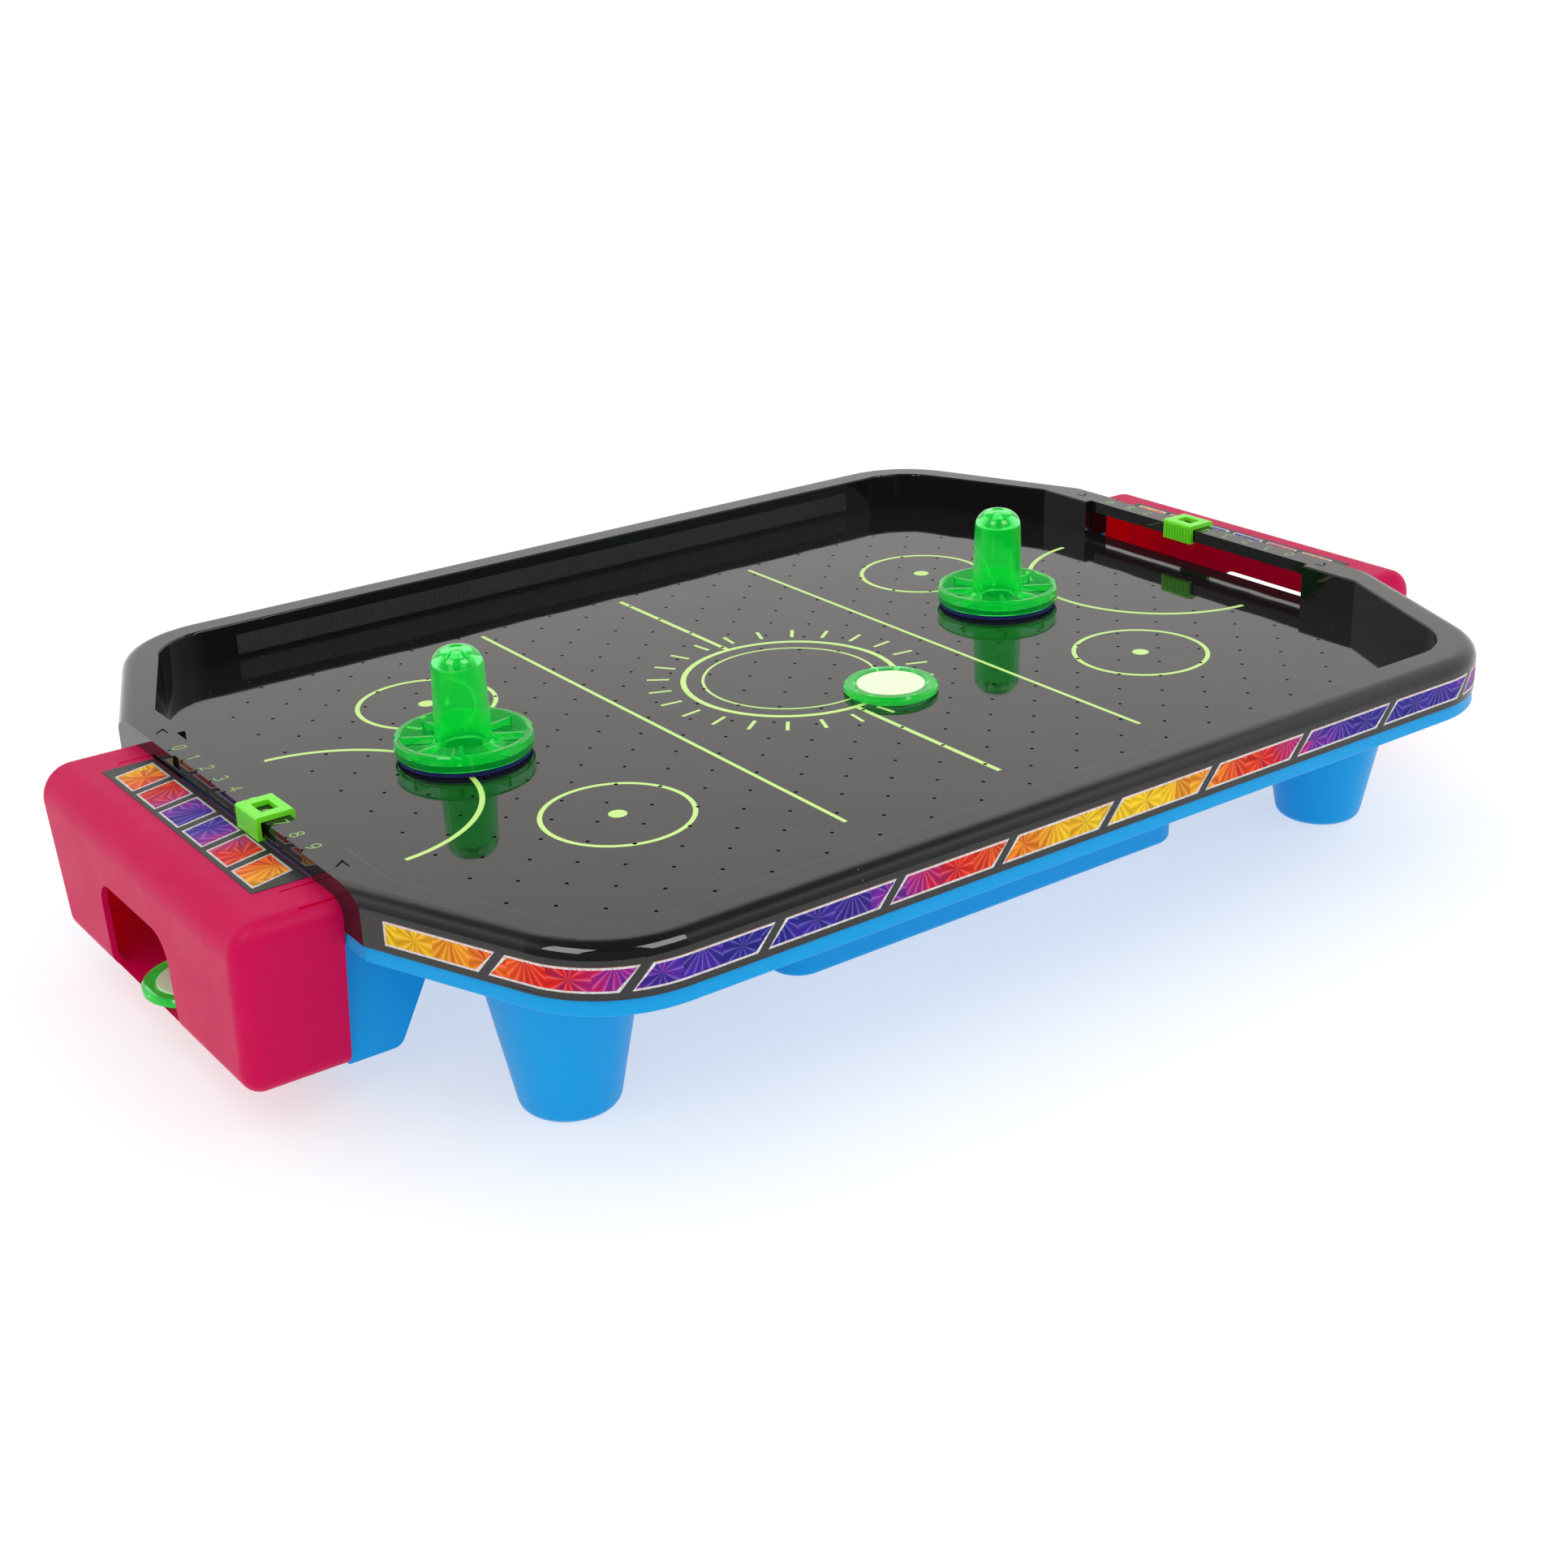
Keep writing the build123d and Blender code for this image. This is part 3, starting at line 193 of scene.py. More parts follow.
def moulded(name, colour, rough, grain=0.0, tone=0.06, waviness=0.0, dust=0.0, sss=0.0,
            level=0.5, marks=0.0, through=None):
    """Injection moulded plastic: slight tone drift, fine texture, flow waviness, dust and
    rubbed spots. through is (share, colour) of the light that passes thin walls; it also
    paints a red glow and a deeper red into hollows."""
    m = new_material(name)
    drift = m.noise(scale=14.0, detail=4.0, rough=0.55)
    fine = m.noise(scale=2600.0, detail=2.0, rough=0.6)
    base = m.mix(drift, toned(colour, 1 - tone), toned(colour, 1 + tone, lift=0.002))
    rub = m.noise(scale=60.0, detail=6.0, rough=0.7)
    roughness = m.math("ADD",
                       m.remap(rub, within=(0.3, 0.7), to=(rough * 0.86, rough * 1.16)),
                       m.remap(fine, within=(0.2, 0.8), to=(-0.015, 0.015)))
    if dust > 0:
        dust_colour, dust_rough = (0.55, 0.54, 0.52), 0.4
        speck = specks(m, scale=260.0, size=0.045)
        base = m.mix(m.math("MULTIPLY", speck, dust), base, dust_colour)
        roughness = m.math("ADD", roughness, m.math("MULTIPLY", speck, dust_rough))
    if marks > 0:
        streaks = m.noise(scale=30.0, detail=2.0, stretch=(1.0, 60.0, 6.0), distortion=0.4)
        line = m.remap(streaks, within=(0.69, 0.72), to=(0.0, 1.0))
        roughness = m.math("ADD", roughness, m.math("MULTIPLY", line, marks))
    normal = None
    if waviness > 0:
        waves = m.noise(scale=26.0, detail=2.0, rough=0.4)
        normal = m.bump(waves, strength=waviness, distance=0.02)
    if grain > 0:
        normal = m.bump(fine, strength=grain, distance=0.0004, normal=normal)
    inputs = {"Base Color": base, "Roughness": roughness, "Specular IOR Level": level,
              "Coat Roughness": 0.05}
    if sss > 0:
        inputs.update({"Subsurface Weight": sss, "Subsurface Radius": (1.0, 0.6, 0.5),
                       "Subsurface Scale": 0.0012})
    if normal is not None:
        inputs["Normal"] = normal
    if through is None:
        return m.finish(m.principled(inputs))

    # thin walls let some light through; hollows, found by ambient occlusion, get a painted red
    # glow (emission) and a painted deeper red that stand in for that light
    share, glow = through
    painted_glow_colour, painted_glow_strength = (0.80, 0.0, 0.006), 0.20
    hollow = m.node("ShaderNodeAmbientOcclusion", {"Distance": 0.05}, samples=8, only_local=True)
    deep = m.remap(hollow.outputs["AO"], within=(0.15, 0.55), to=(1.0, 0.0))
    inputs.update({"Base Color": m.mix(deep, base, painted_glow_colour),
                   "Emission Color": (0.9, 0.0, 0.002),
                   "Emission Strength": m.math("MULTIPLY", deep, painted_glow_strength)})
    passing = m.node("ShaderNodeBsdfTranslucent", {"Color": m.mix(drift, toned(glow, 0.9), glow)})
    return m.finish(m.mix_shader(share, m.principled(inputs), passing))


def translucent(name, colour, deep, glow, rough, haze):
    """Clear dyed plastic with a painted glow (emission), flow lines and faint moulding haze."""
    m = new_material(name)
    flow = m.noise(scale=60.0, stretch=(1.0, 1.0, 0.25))
    cloud = m.noise(scale=140.0, detail=4.0, rough=0.6)
    ripple = m.noise(scale=90.0, detail=2.0)
    surface = {"Roughness": m.remap(cloud, within=(0.3, 0.7), to=(rough * 0.6, rough * 1.6)),
               "Normal": m.bump(ripple, strength=0.10, distance=0.002)}
    glass = m.principled({
        **surface, "Base Color": m.mix(flow, colour, toned(colour, 1.05, lift=0.01)),
        "IOR": 1.40, "Transmission Weight": 1.0})
    # the hazy body carries the painted glow: emission in the glow colour brightens the plastic
    body = m.principled({
        **surface, "Base Color": m.mix(flow, deep, toned(deep, 1.15)),
        "Emission Color": glow, "Emission Strength": 1.0})
    return m.finish(m.mix_shader(haze, glass, body))


def felt(name, colour):
    """Fibrous felt with soft clumps and a blue sheen."""
    m = new_material(name)
    fibre = m.noise(scale=2400.0, detail=5.0, rough=0.75, distortion=0.8)
    clump = m.noise(scale=260.0, rough=0.6)
    base = m.mix(fibre, toned(colour, 0.35), toned(colour, 1.7, lift=0.004))
    base = m.mix(m.remap(clump, within=(0.3, 0.7), to=(0.0, 0.45)), base, toned(colour, 0.6))
    return m.finish(m.principled({
        "Base Color": base, "Roughness": 0.95, "Sheen Weight": 0.35, "Sheen Roughness": 0.4,
        "Sheen Tint": (0.25, 0.35, 0.9),
        "Normal": m.bump(fibre, strength=0.9, distance=0.0006)}))


def metal(name, colour, rough, brushed=(1.0, 1.0, 1.0)):
    """Bare metal; brushed stretches the grain along the axis with the small value."""
    m = new_material(name)
    grain = m.noise(scale=900.0, detail=4.0, rough=0.6, stretch=brushed)
    return m.finish(m.principled({
        "Base Color": m.mix(grain, toned(colour, 0.8), colour), "Metallic": 1.0,
        "Roughness": m.remap(grain, within=(0.2, 0.8), to=(rough * 0.7, rough * 1.4)),
        "Normal": m.bump(grain, strength=0.15, distance=0.0002)}))


# colour run of the holographic foil: (tone, colour)
FOIL = [
    (0.0, srgb(34, 34, 150)), (0.16, srgb(74, 36, 166)), (0.27, srgb(140, 30, 160)),
    (0.36, srgb(196, 20, 116)), (0.46, srgb(214, 16, 40)), (0.55, srgb(226, 26, 12)),
    (0.7, srgb(240, 84, 6)), (0.84, srgb(246, 150, 4)), (1.0, srgb(246, 204, 12))]
FOIL_CELL = 12.5  # mm along the sheet per fan or star
FAN_RAYS, STAR_RAYS = 19.0, 10.0
FAN_Y, STAR_Y = 0.36, 0.02  # height of the ray centres over the panel's middle line, in cells
TURNS_PER_RADIAN = 0.15915494


def foil(name):
    """Holographic foil: a colour run along the sheet, broken into radiating fans and stars.
    UV map "place" holds the position in metres, "tone" the place in the colour run."""
    m = new_material(name)
    place = m.split(m.node("ShaderNodeUVMap", uv_map="place"))
    tone = m.split(m.node("ShaderNodeUVMap", uv_map="tone"))
    cells_per_metre = 1000.0 / FOIL_CELL
    along = m.math("MULTIPLY", place[0], cells_per_metre)
    index = m.math("FLOOR", along)
    dx = m.math("SUBTRACT", m.math("SUBTRACT", along, index), 0.5)
    # even cells: a fan from a point near the upper edge; odd cells: a star in the middle
    odd = m.math("MODULO", m.math("ABSOLUTE", index), 2.0)
    across = m.math("MULTIPLY", place[1], cells_per_metre)
    dy = m.math("SUBTRACT", across, m.math("MULTIPLY_ADD", odd, STAR_Y - FAN_Y, FAN_Y))
    turns = m.math("MULTIPLY", m.math("ARCTAN2", dy, dx), TURNS_PER_RADIAN)
    rays = m.math("MULTIPLY_ADD", odd, STAR_RAYS - FAN_RAYS, FAN_RAYS)
    keep_positive = 40.0
    ray = m.math("ADD", m.math("MULTIPLY", turns, rays), keep_positive)
    # 1 on the borders between two rays, 0 in the middle of a ray
    facet = m.math("ABSOLUTE", m.math("MULTIPLY_ADD", m.math("FRACT", ray), 2.0, -1.0))
    seed = m.node("ShaderNodeCombineXYZ", {0: m.math("FLOOR", ray), 1: index})
    random = m.node("ShaderNodeTexWhiteNoise", {"Vector": seed}, noise_dimensions="2D").outputs[0]
    flicker = m.remap(random, within=(0.0, 1.0), to=(-0.055, 0.055))
    colour = m.ramp(m.math("ADD", tone[0], flicker, clamp=True), FOIL)
    crackle = m.noise(scale=900.0, detail=4.0, rough=0.7)
    facet_gain, glint_power, glint_gain = 0.40, 7.0, 0.16
    value = m.math("MULTIPLY_ADD", facet, facet_gain,
                   m.remap(random, within=(0.0, 1.0), to=(0.48, 0.74)))
    value = m.math("ADD", value, m.remap(crackle, within=(0.3, 0.7), to=(-0.06, 0.06)))
    shaded = m.node("ShaderNodeHueSaturation", {"Color": colour, "Value": value})
    glint = m.math("MULTIPLY", m.math("POWER", facet, glint_power), glint_gain)
    return m.finish(m.principled({
        "Base Color": m.mix(glint, shaded, (1.0, 0.80, 0.55)),
        "Roughness": m.remap(crackle, within=(0.2, 0.8), to=(0.28, 0.46)),
        "Specular IOR Level": 0.12, "Coat Roughness": 0.12,
        "Normal": m.bump(facet, strength=0.35, distance=0.0004)}))


def silver(name):
    """Crinkled silver print."""
    m = new_material(name)
    grain = m.noise(scale=1500.0, detail=5.0, rough=0.8, distortion=0.6)
    greys = [(0.30, (0.34, 0.30, 0.30)), (0.5, (0.66, 0.63, 0.62)), (0.68, (0.95, 0.95, 0.94))]
    return m.finish(m.principled({
        "Base Color": m.ramp(grain, greys), "Metallic": 0.45,
        "Roughness": m.remap(grain, within=(0.2, 0.8), to=(0.5, 0.28)),
        "Normal": m.bump(grain, strength=0.35, distance=0.0003)}))


def ink(name, colour, rough=0.38):
    """Printed ink with a fine grain and slightly worn patches."""
    m = new_material(name)
    grain = m.noise(scale=1800.0, rough=0.6)
    patches = m.noise(scale=70.0, detail=4.0, rough=0.6)
    base = m.mix(grain, toned(colour, 0.92), colour)
    base = m.mix(m.remap(patches, within=(0.45, 0.75), to=(0.0, 0.12)), base, toned(colour, 0.8))
    return m.finish(m.principled({
        "Base Color": base,
        "Roughness": m.remap(grain, within=(0.2, 0.8), to=(rough * 0.8, rough * 1.2)),
        "Normal": m.bump(grain, strength=0.08, distance=0.0002)}))


def label(name, colour):
    """Satin printed strip with a fine diagonal hatch."""
    m = new_material(name)
    hatch_x, hatch_z = 1500.0, 2600.0  # radians per metre
    place = m.split(m.coord.outputs["Object"])
    x = m.math("MULTIPLY", place[0], hatch_x)
    z = m.math("MULTIPLY", place[2], hatch_z)
    rising, falling = (m.math("SINE", m.math(op, x, z)) for op in ("ADD", "SUBTRACT"))
    hatch = m.math("MULTIPLY", rising, falling)
    cloud = m.noise(scale=55.0, detail=4.0, rough=0.6)
    base = m.mix(m.remap(hatch, within=(-1.0, 1.0), to=(0.0, 1.0)),
                 toned(colour, 0.7), toned(colour, 1.3))
    base = m.mix(m.remap(cloud, within=(0.3, 0.7), to=(0.0, 0.35)), base, toned(colour, 1.5))
    return m.finish(m.principled({
        "Base Color": base,
        "Roughness": m.remap(m.noise(scale=400.0), within=(0.3, 0.7), to=(0.34, 0.48)),
        "Specular IOR Level": 0.6,
        "Normal": m.bump(hatch, strength=0.10, distance=0.0002)}))


def cell_wrap(name):
    """Near-black battery sleeve with orange bands across Y."""
    m = new_material(name)
    band_rate, band_level = 120.0, 0.55  # radians per metre; the sine above the level is orange
    place = m.split(m.coord.outputs["Object"])
    grain = m.noise(scale=500.0, stretch=(1.0, 0.05, 1.0))
    base = m.mix(grain, (0.012, 0.012, 0.014), (0.03, 0.03, 0.034))
    wave = m.math("SINE", m.math("MULTIPLY", place[1], band_rate))
    base = m.mix(m.math("GREATER_THAN", wave, band_level), base, (0.42, 0.20, 0.03))
    return m.finish(m.principled({
        "Base Color": base, "Metallic": 0.3,
        "Roughness": m.remap(grain, within=(0.2, 0.8), to=(0.2, 0.36))}))


# finishes by slot name of the CAD record
FINISH = {
    "black_shell": moulded("black_gloss_shell", (0.0075, 0.0075, 0.0078), rough=0.045,
                           waviness=0.010, dust=0.5, tone=0.1, marks=0.05),
    "blue_shell": moulded("blue_satin_shell", srgb(0, 156, 224), rough=0.36, grain=0.25,
                          tone=0.03, waviness=0.02, dust=0.12, level=0.18),
    "pink_shell": moulded("pink_satin_shell", srgb(203, 3, 88), rough=0.38, grain=0.25,
                          tone=0.03, waviness=0.02, dust=0.12, level=0.10,
                          through=(0.20, (0.90, 0.0, 0.02))),
    "lime_plastic": moulded("lime_clip", srgb(118, 238, 40), rough=0.30, grain=0.12, tone=0.03,
                            sss=0.35),
    # glow is the colour of the painted glow (emission) of the strikers' clear plastic
    "clear_green": translucent("clear_neon_green", colour=(0.30, 1.0, 0.46),
                               deep=(0.0, 0.70, 0.07), glow=(0.0, 0.40, 0.035), rough=0.08,
                               haze=0.20),
    "felt_blue": felt("navy_felt", srgb(4, 26, 122)),
    "glow_disc": moulded("glow_disc", srgb(240, 250, 214), rough=0.4, grain=0.1, tone=0.02,
                         sss=0.3),
    "foil_print": foil("holographic_foil"),
    "grey_label": label("satin_grey_label", (0.028, 0.029, 0.031)),
    "grey_plastic": moulded("grey_moulding", (0.42, 0.43, 0.42), rough=0.5, grain=0.3),
    "black_plastic": moulded("black_moulding", (0.012, 0.012, 0.012), rough=0.45, grain=0.3),
    "white_plastic": moulded("white_moulding", (0.78, 0.78, 0.75), rough=0.4, grain=0.2,
                             sss=0.2),
    "zinc_steel": metal("zinc_plated_steel", (0.62, 0.62, 0.60), rough=0.3),
    "spring_steel": metal("spring_steel", (0.70, 0.69, 0.66), rough=0.22,
                          brushed=(0.2, 1.0, 1.0)),
    "battery_wrap": cell_wrap("battery_sleeve"),
    "wire_red_sleeve": moulded("red_wire_sleeve", (0.62, 0.012, 0.012), rough=0.35, grain=0.1),
    "wire_black_sleeve": moulded("black_wire_sleeve", (0.012, 0.012, 0.012), rough=0.35,
                                 grain=0.1),
    "wire_yellow_sleeve": moulded("yellow_wire_sleeve", (0.75, 0.55, 0.02), rough=0.35,
                                  grain=0.1),
}
FILM = moulded("black_film", (0.011, 0.011, 0.012), rough=0.22, grain=0.05, tone=0.1, dust=0.2)
SHEET = moulded("grey_print_sheet", (0.022, 0.022, 0.022), rough=0.34, grain=0.05, tone=0.1,
                level=0.25)
SILVER = silver("silver_border")
COPPER = ink("copper_edge", (0.42, 0.13, 0.06), rough=0.3)
PRINT = ink("neon_print", srgb(207, 247, 140))
SCALE = ink("scale_print", srgb(150, 196, 104))

for node in nodes.values():
    slots = node.data.materials
    slot_name = slots[0].name.split(".")[0] if slots and slots[0] else "black_plastic"
    slots.clear()
    slots.append(FINISH.get(slot_name, FINISH["black_plastic"]))


# ------------------------------------------------------------------ flat shapes, in millimetres
def stroke(points, width, closed=False, limit=4.0):
    """A line with mitred corners, as a list of quads; limit caps the mitre length."""
    points = [Vector(p) for p in points]
    count = len(points)
    half = 0.5 * width
    left, right = [], []
    for k, point in enumerate(points):
        before = points[k - 1] if (k > 0 or closed) else None
        after = points[(k + 1) % count] if (k < count - 1 or closed) else None
        if before is None or after is None:
            along = (after - point) if before is None else (point - before)
            along.normalize()
            side, reach = Vector((-along.y, along.x)), half
        else:
            arriving, leaving = (point - before).normalized(), (after - point).normalized()
            normal = Vector((-arriving.y, arriving.x))
            side = normal + Vector((-leaving.y, leaving.x))
            if side.length < 1e-6:
                side = normal.copy()
            side.normalize()
            reach = half / max(1.0 / limit, side.dot(normal))
        left.append(point + side * reach)
        right.append(point - side * reach)
    quads = []
    for k in range(count if closed else count - 1):
        j = (k + 1) % count
        quads.append([tuple(left[k]), tuple(right[k]), tuple(right[j]), tuple(left[j])])
    return quads


def curve(points, steps):
    """A Catmull-Rom line through the points, with this many steps per span."""
    p = [Vector(q) for q in points]
    p = [p[0] * 2 - p[1]] + p + [p[-1] * 2 - p[-2]]
    out = []
    for span in range(len(p) - 3):
        a, b, c, d = p[span:span + 4]
        for k in range(steps):
            t = k / steps
            out.append(0.5 * ((2 * b) + (c - a) * t + (2 * a - 5 * b + 4 * c - d) * t * t
                              + (3 * b - a - 3 * c + d) * t ** 3))
    out.append(p[-2])
    return [tuple(q) for q in out]


def ellipse(cx, cy, rx, ry, start, end, segments):
    """Points of an elliptic arc, angles in degrees."""
    out = []
    for k in range(segments + 1):
        angle = math.radians(start + (end - start) * k / segments)
        out.append((cx + rx * math.cos(angle), cy + ry * math.sin(angle)))
    return out


def turned(polys, angle):
    c, s = math.cos(math.radians(angle)), math.sin(math.radians(angle))
    return [[(x * c - y * s, x * s + y * c) for x, y in poly] for poly in polys]


def moved(polys, dx, dy):
    return [[(x + dx, y + dy) for x, y in poly] for poly in polys]


def area(poly):
    """Signed area, positive when counter-clockwise."""
    return 0.5 * sum(poly[k][0] * poly[(k + 1) % len(poly)][1]
                     - poly[(k + 1) % len(poly)][0] * poly[k][1] for k in range(len(poly)))


def triangulate(layers, seams, holes):
    """Points and [(triangle, material index)] of overlapping shapes, later layers on top."""
    coords, edges, faces, tags = [], [], [], []

    def add_face(poly, tag):
        poly = [p for k, p in enumerate(poly) if math.dist(p, poly[k - 1]) > 1e-4]
        if len(poly) < 3 or abs(area(poly)) < 1e-4:
            return
        if area(poly) < 0:
            poly = poly[::-1]
        start = len(coords)
        coords.extend(poly)
        faces.append(list(range(start, start + len(poly))))
        tags.append(tag)

    for rank, (polys, index) in enumerate(layers):
        for poly in polys:
            add_face(poly, (rank, index))
    for poly in holes:
        add_face(poly, None)
    for ends in seams:
        start = len(coords)
        coords.extend(ends)
        edges.append((start, start + 1))
    points, _, triangles, _, _, sources = delaunay_2d_cdt(
        [Vector(c) for c in coords], edges, faces, 0, 1e-5, True)
    kept = []
    for triangle, source in zip(triangles, sources):
        owners = [tags[i] for i in source]
        if not owners or None in owners:
            continue
        signed = area([points[i] for i in triangle])
        if abs(signed) < 1e-7:
            continue
        triangle = list(triangle) if signed > 0 else list(triangle)[::-1]
        kept.append((triangle, max(owners)[1]))
    return points, kept


def art(name, layers, place, heights, materials, body, seams=(), tone=None, holes=()):
    """One clean thin solid from flat shapes. layers is [(polygons, material index)], heights is
    (bottom, top), and place maps (x, y, height) in millimetres to the frame."""
    points, kept = triangulate(layers, seams, holes)
    border = {}
    for face, tag in kept:
        for k in range(len(face)):
            border[(face[k], face[(k + 1) % len(face)])] = tag
    used = sorted({i for face, _ in kept for i in face})
    new = {i: k for k, i in enumerate(used)}
    count = len(used)
    bottom, top = heights
    verts = [place(points[i][0], points[i][1], h) for h in (top, bottom) for i in used]
    faces, tags = [], []
    for face, tag in kept:
        faces.append([new[i] for i in face])
        faces.append([new[i] + count for i in reversed(face)])
        tags += [tag, tag]
    for (a, b), tag in border.items():
        if (b, a) not in border:
            faces.append([new[a], new[a] + count, new[b] + count, new[b]])
            tags.append(tag)
    mesh = bpy.data.meshes.new(name)
    mesh.from_pydata([tuple(v) for v in verts], [], faces)
    for mat in materials:
        mesh.materials.append(mat)
    flat = [points[i] for i in used] * 2
    place_map = mesh.uv_layers.new(name="place")
    tone_map = mesh.uv_layers.new(name="tone")
    # fetched again by name, as adding a layer may move the first one
    place_map = mesh.uv_layers["place"]
    for poly, tag in zip(mesh.polygons, tags):
        poly.material_index = tag
        for loop in poly.loop_indices:
            x, y = flat[mesh.loops[loop].vertex_index]
            place_map.data[loop].uv = (x * MM, y * MM)
            tone_map.data[loop].uv = (tone(x, y) if tone else 0.5, 0.0)
    mesh.update()
    mesh.validate()
    obj = add_object(name, mesh)
    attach(obj, body)
    return obj


def level_place(level, way=1):
    """A placing at a level in metres; way -1 turns the art half a turn about Z."""
    return lambda x, y, h: Vector((way * x * MM, way * y * MM, level + h * MM))


# ------------------------------------------------------------------ print on the playing surface
HOLE_PITCH_X, HOLE_PITCH_Y = 5.0, 5.25
HOLE_R, HOLE_CUT_R = 0.65, 0.74  # air hole, and the opening left for it in the print


def ring(cx, cy, radius, width):
    return stroke(ellipse(cx, cy, radius, radius, 0, 354, 59), width, closed=True)


def air_holes():
    """Openings in the print over the air holes found in the plate's mesh."""
    near = {}
    for v in nodes["playfield_top"].data.vertices:
        if abs(v.co.z - PLAY_Z) < 1e-5:
            cell = (round(v.co.x / MM / HOLE_PITCH_X), round(v.co.y / MM / HOLE_PITCH_Y))
            near.setdefault(cell, []).append(v.co)
    circle = ellipse(0, 0, HOLE_CUT_R, HOLE_CUT_R, 0, 330, 11)
    holes = []
    for i in range(-38, 39):
        for j in range(-26, 27):
            x, y = i * HOLE_PITCH_X, j * HOLE_PITCH_Y
            rim = [p for p in near.get((i, j), ())
                   if abs(math.hypot(p.x / MM - x, p.y / MM - y) - HOLE_R) < 0.02]
            if len(rim) >= 8:
                holes += moved([circle], x, y)
    return holes


def playfield_print():
    """Rink markings: centre line and circles, zone lines, goal creases, face-off circles."""
    centre_r, inner_r = 38, 31
    line_end, zone_x = 112, 62
    crease_x, crease_r = 182, 50
    spot_x, spot_y, spot_r, dot_r = 112, 62, 24, 3
    dash_radii = (43, 51)
    lines = ring(0, 0, centre_r, 2.0) + ring(0, 0, inner_r, 1.0)
    for way in (-1, 1):
        lines += stroke([(0, way * centre_r), (0, way * line_end)], 1.8)
        lines += stroke([(way * zone_x, -line_end), (way * zone_x, line_end)], 1.5)
        crease = ellipse(0, 0, crease_r, crease_r, -86, 86, 36)
        lines += stroke([(way * (crease_x - x), y) for x, y in crease], 1.8)
        for up in (-1, 1):
            lines += ring(way * spot_x, up * spot_y, spot_r, 1.6)
            lines.append(ellipse(way * spot_x, up * spot_y, dot_r, dot_r, 0, 345, 23))
    # short radial dashes round the centre circle
    for k in range(24):
        angle = math.radians(15 * k + 7.5)
        lines += stroke([(r * math.cos(angle), r * math.sin(angle)) for r in dash_radii], 1.3)
    art("playfield_print", [(lines, 0)], level_place(PLAY_Z), (0.004, 0.035), [PRINT],
        "frame", holes=air_holes())


# ------------------------------------------------------------------ digits of the score scales
DIGIT_FIRST_Y, DIGIT_PITCH = 46.5, 10.9


def digit_shapes():
    """The digits 0 to 9 as lists of polygons, each centred on the origin."""
    w, h, pen = 1.25, 2.15, 0.44  # half width, half height, line width
    low, high = -h + pen / 2, h - pen / 2
    six = (stroke(ellipse(0, -0.85, w, 1.3, 0, 345, 20), pen, closed=True)
           + stroke(curve([(-w, -0.7), (-0.85, 0.9), (0.75, h)], steps=7), pen))
    return [
        stroke(ellipse(0, 0, w, h, 0, 345, 24), pen, closed=True),
        stroke([(-0.75, 1.25), (0.25, h), (0.25, -h)], pen),
        stroke(ellipse(0, 0.95, w * 0.95, 1.2, 165, -28, 14) + [(-w, low), (w, low)], pen,
               limit=2),
        stroke(ellipse(-0.05, 1.08, w * 0.9, 1.07, 150, -80, 14), pen)
        + stroke(ellipse(-0.05, -1.0, w, 1.15, 80, -150, 14), pen),
        stroke([(0.55, -h), (0.55, h), (-w - 0.1, -0.75), (w + 0.1, -0.75)], pen, limit=2),
        stroke([(w * 0.85, high), (-w * 0.7, high), (-w * 0.85, 0.15)], pen, limit=2)
        + stroke(ellipse(-0.15, -0.75, w * 1.05, 1.35, 128, -140, 16), pen),
        six,
        stroke([(-w, high), (w, high), (-0.35, -h)], pen, limit=2),
        stroke(ellipse(0, 1.08, w * 0.85, 1.02, 0, 345, 20), pen, closed=True)
        + stroke(ellipse(0, -1.02, w, 1.12, 0, 345, 20), pen, closed=True),
        turned(six, 180),
    ]


def scale_digits(side, name):
    """Digits at the -X (side -1) or +X end, upright for the player there, 0 on the left hand."""
    x = (slider_lo.x + slider_hi.x) / 2 / MM
    polys = []
    for n, shape in enumerate(digit_shapes()):
        y = DIGIT_FIRST_Y - DIGIT_PITCH * n
        polys += moved(turned(shape, 90 * side), -side * x, -side * y)
    art(name, [(polys, 0)], level_place(RAIL_TOP), (0.003, 0.03), [SCALE], "frame")


# ------------------------------------------------------------------ bands round the skirt
# Half outline of the frame on the -Y side, in mm: a slope from (-END_X, -END_HALF) out towards
# (-SIDE_X, -SIDE_Y), a rounded corner, then a straight to the mirrored other half.
END_X, SIDE_Y = top_hi.x / MM, top_hi.y / MM
END_HALF, SIDE_X, CORNER_R = 89.0, 181.0, 39.0
SLOPE = math.hypot(END_X - SIDE_X, SIDE_Y - END_HALF)
SLOPE_DX, SLOPE_DY = (END_X - SIDE_X) / SLOPE, -(SIDE_Y - END_HALF) / SLOPE
CORNER_TURN = math.atan2(-SLOPE_DY, SLOPE_DX)
TANGENT = CORNER_R * math.tan(CORNER_TURN / 2)
SLOPE_RUN = SLOPE - TANGENT
CORNER_RUN = CORNER_R * CORNER_TURN
TOTAL = 2 * SLOPE_RUN + 2 * CORNER_RUN + 2 * (SIDE_X - TANGENT)

BAND_START_Y = 92.0  # the band begins where the slope is this far from the X axis
PANELS, PANEL_GAP, PANEL_MARGIN, PANEL_SLANT = 12, 3.4, 8.0, 6.0
SILVER_WIDTH = 0.62
CURVED_ZONE = (54.0, 104.0)  # distance from either end where the seams lie close


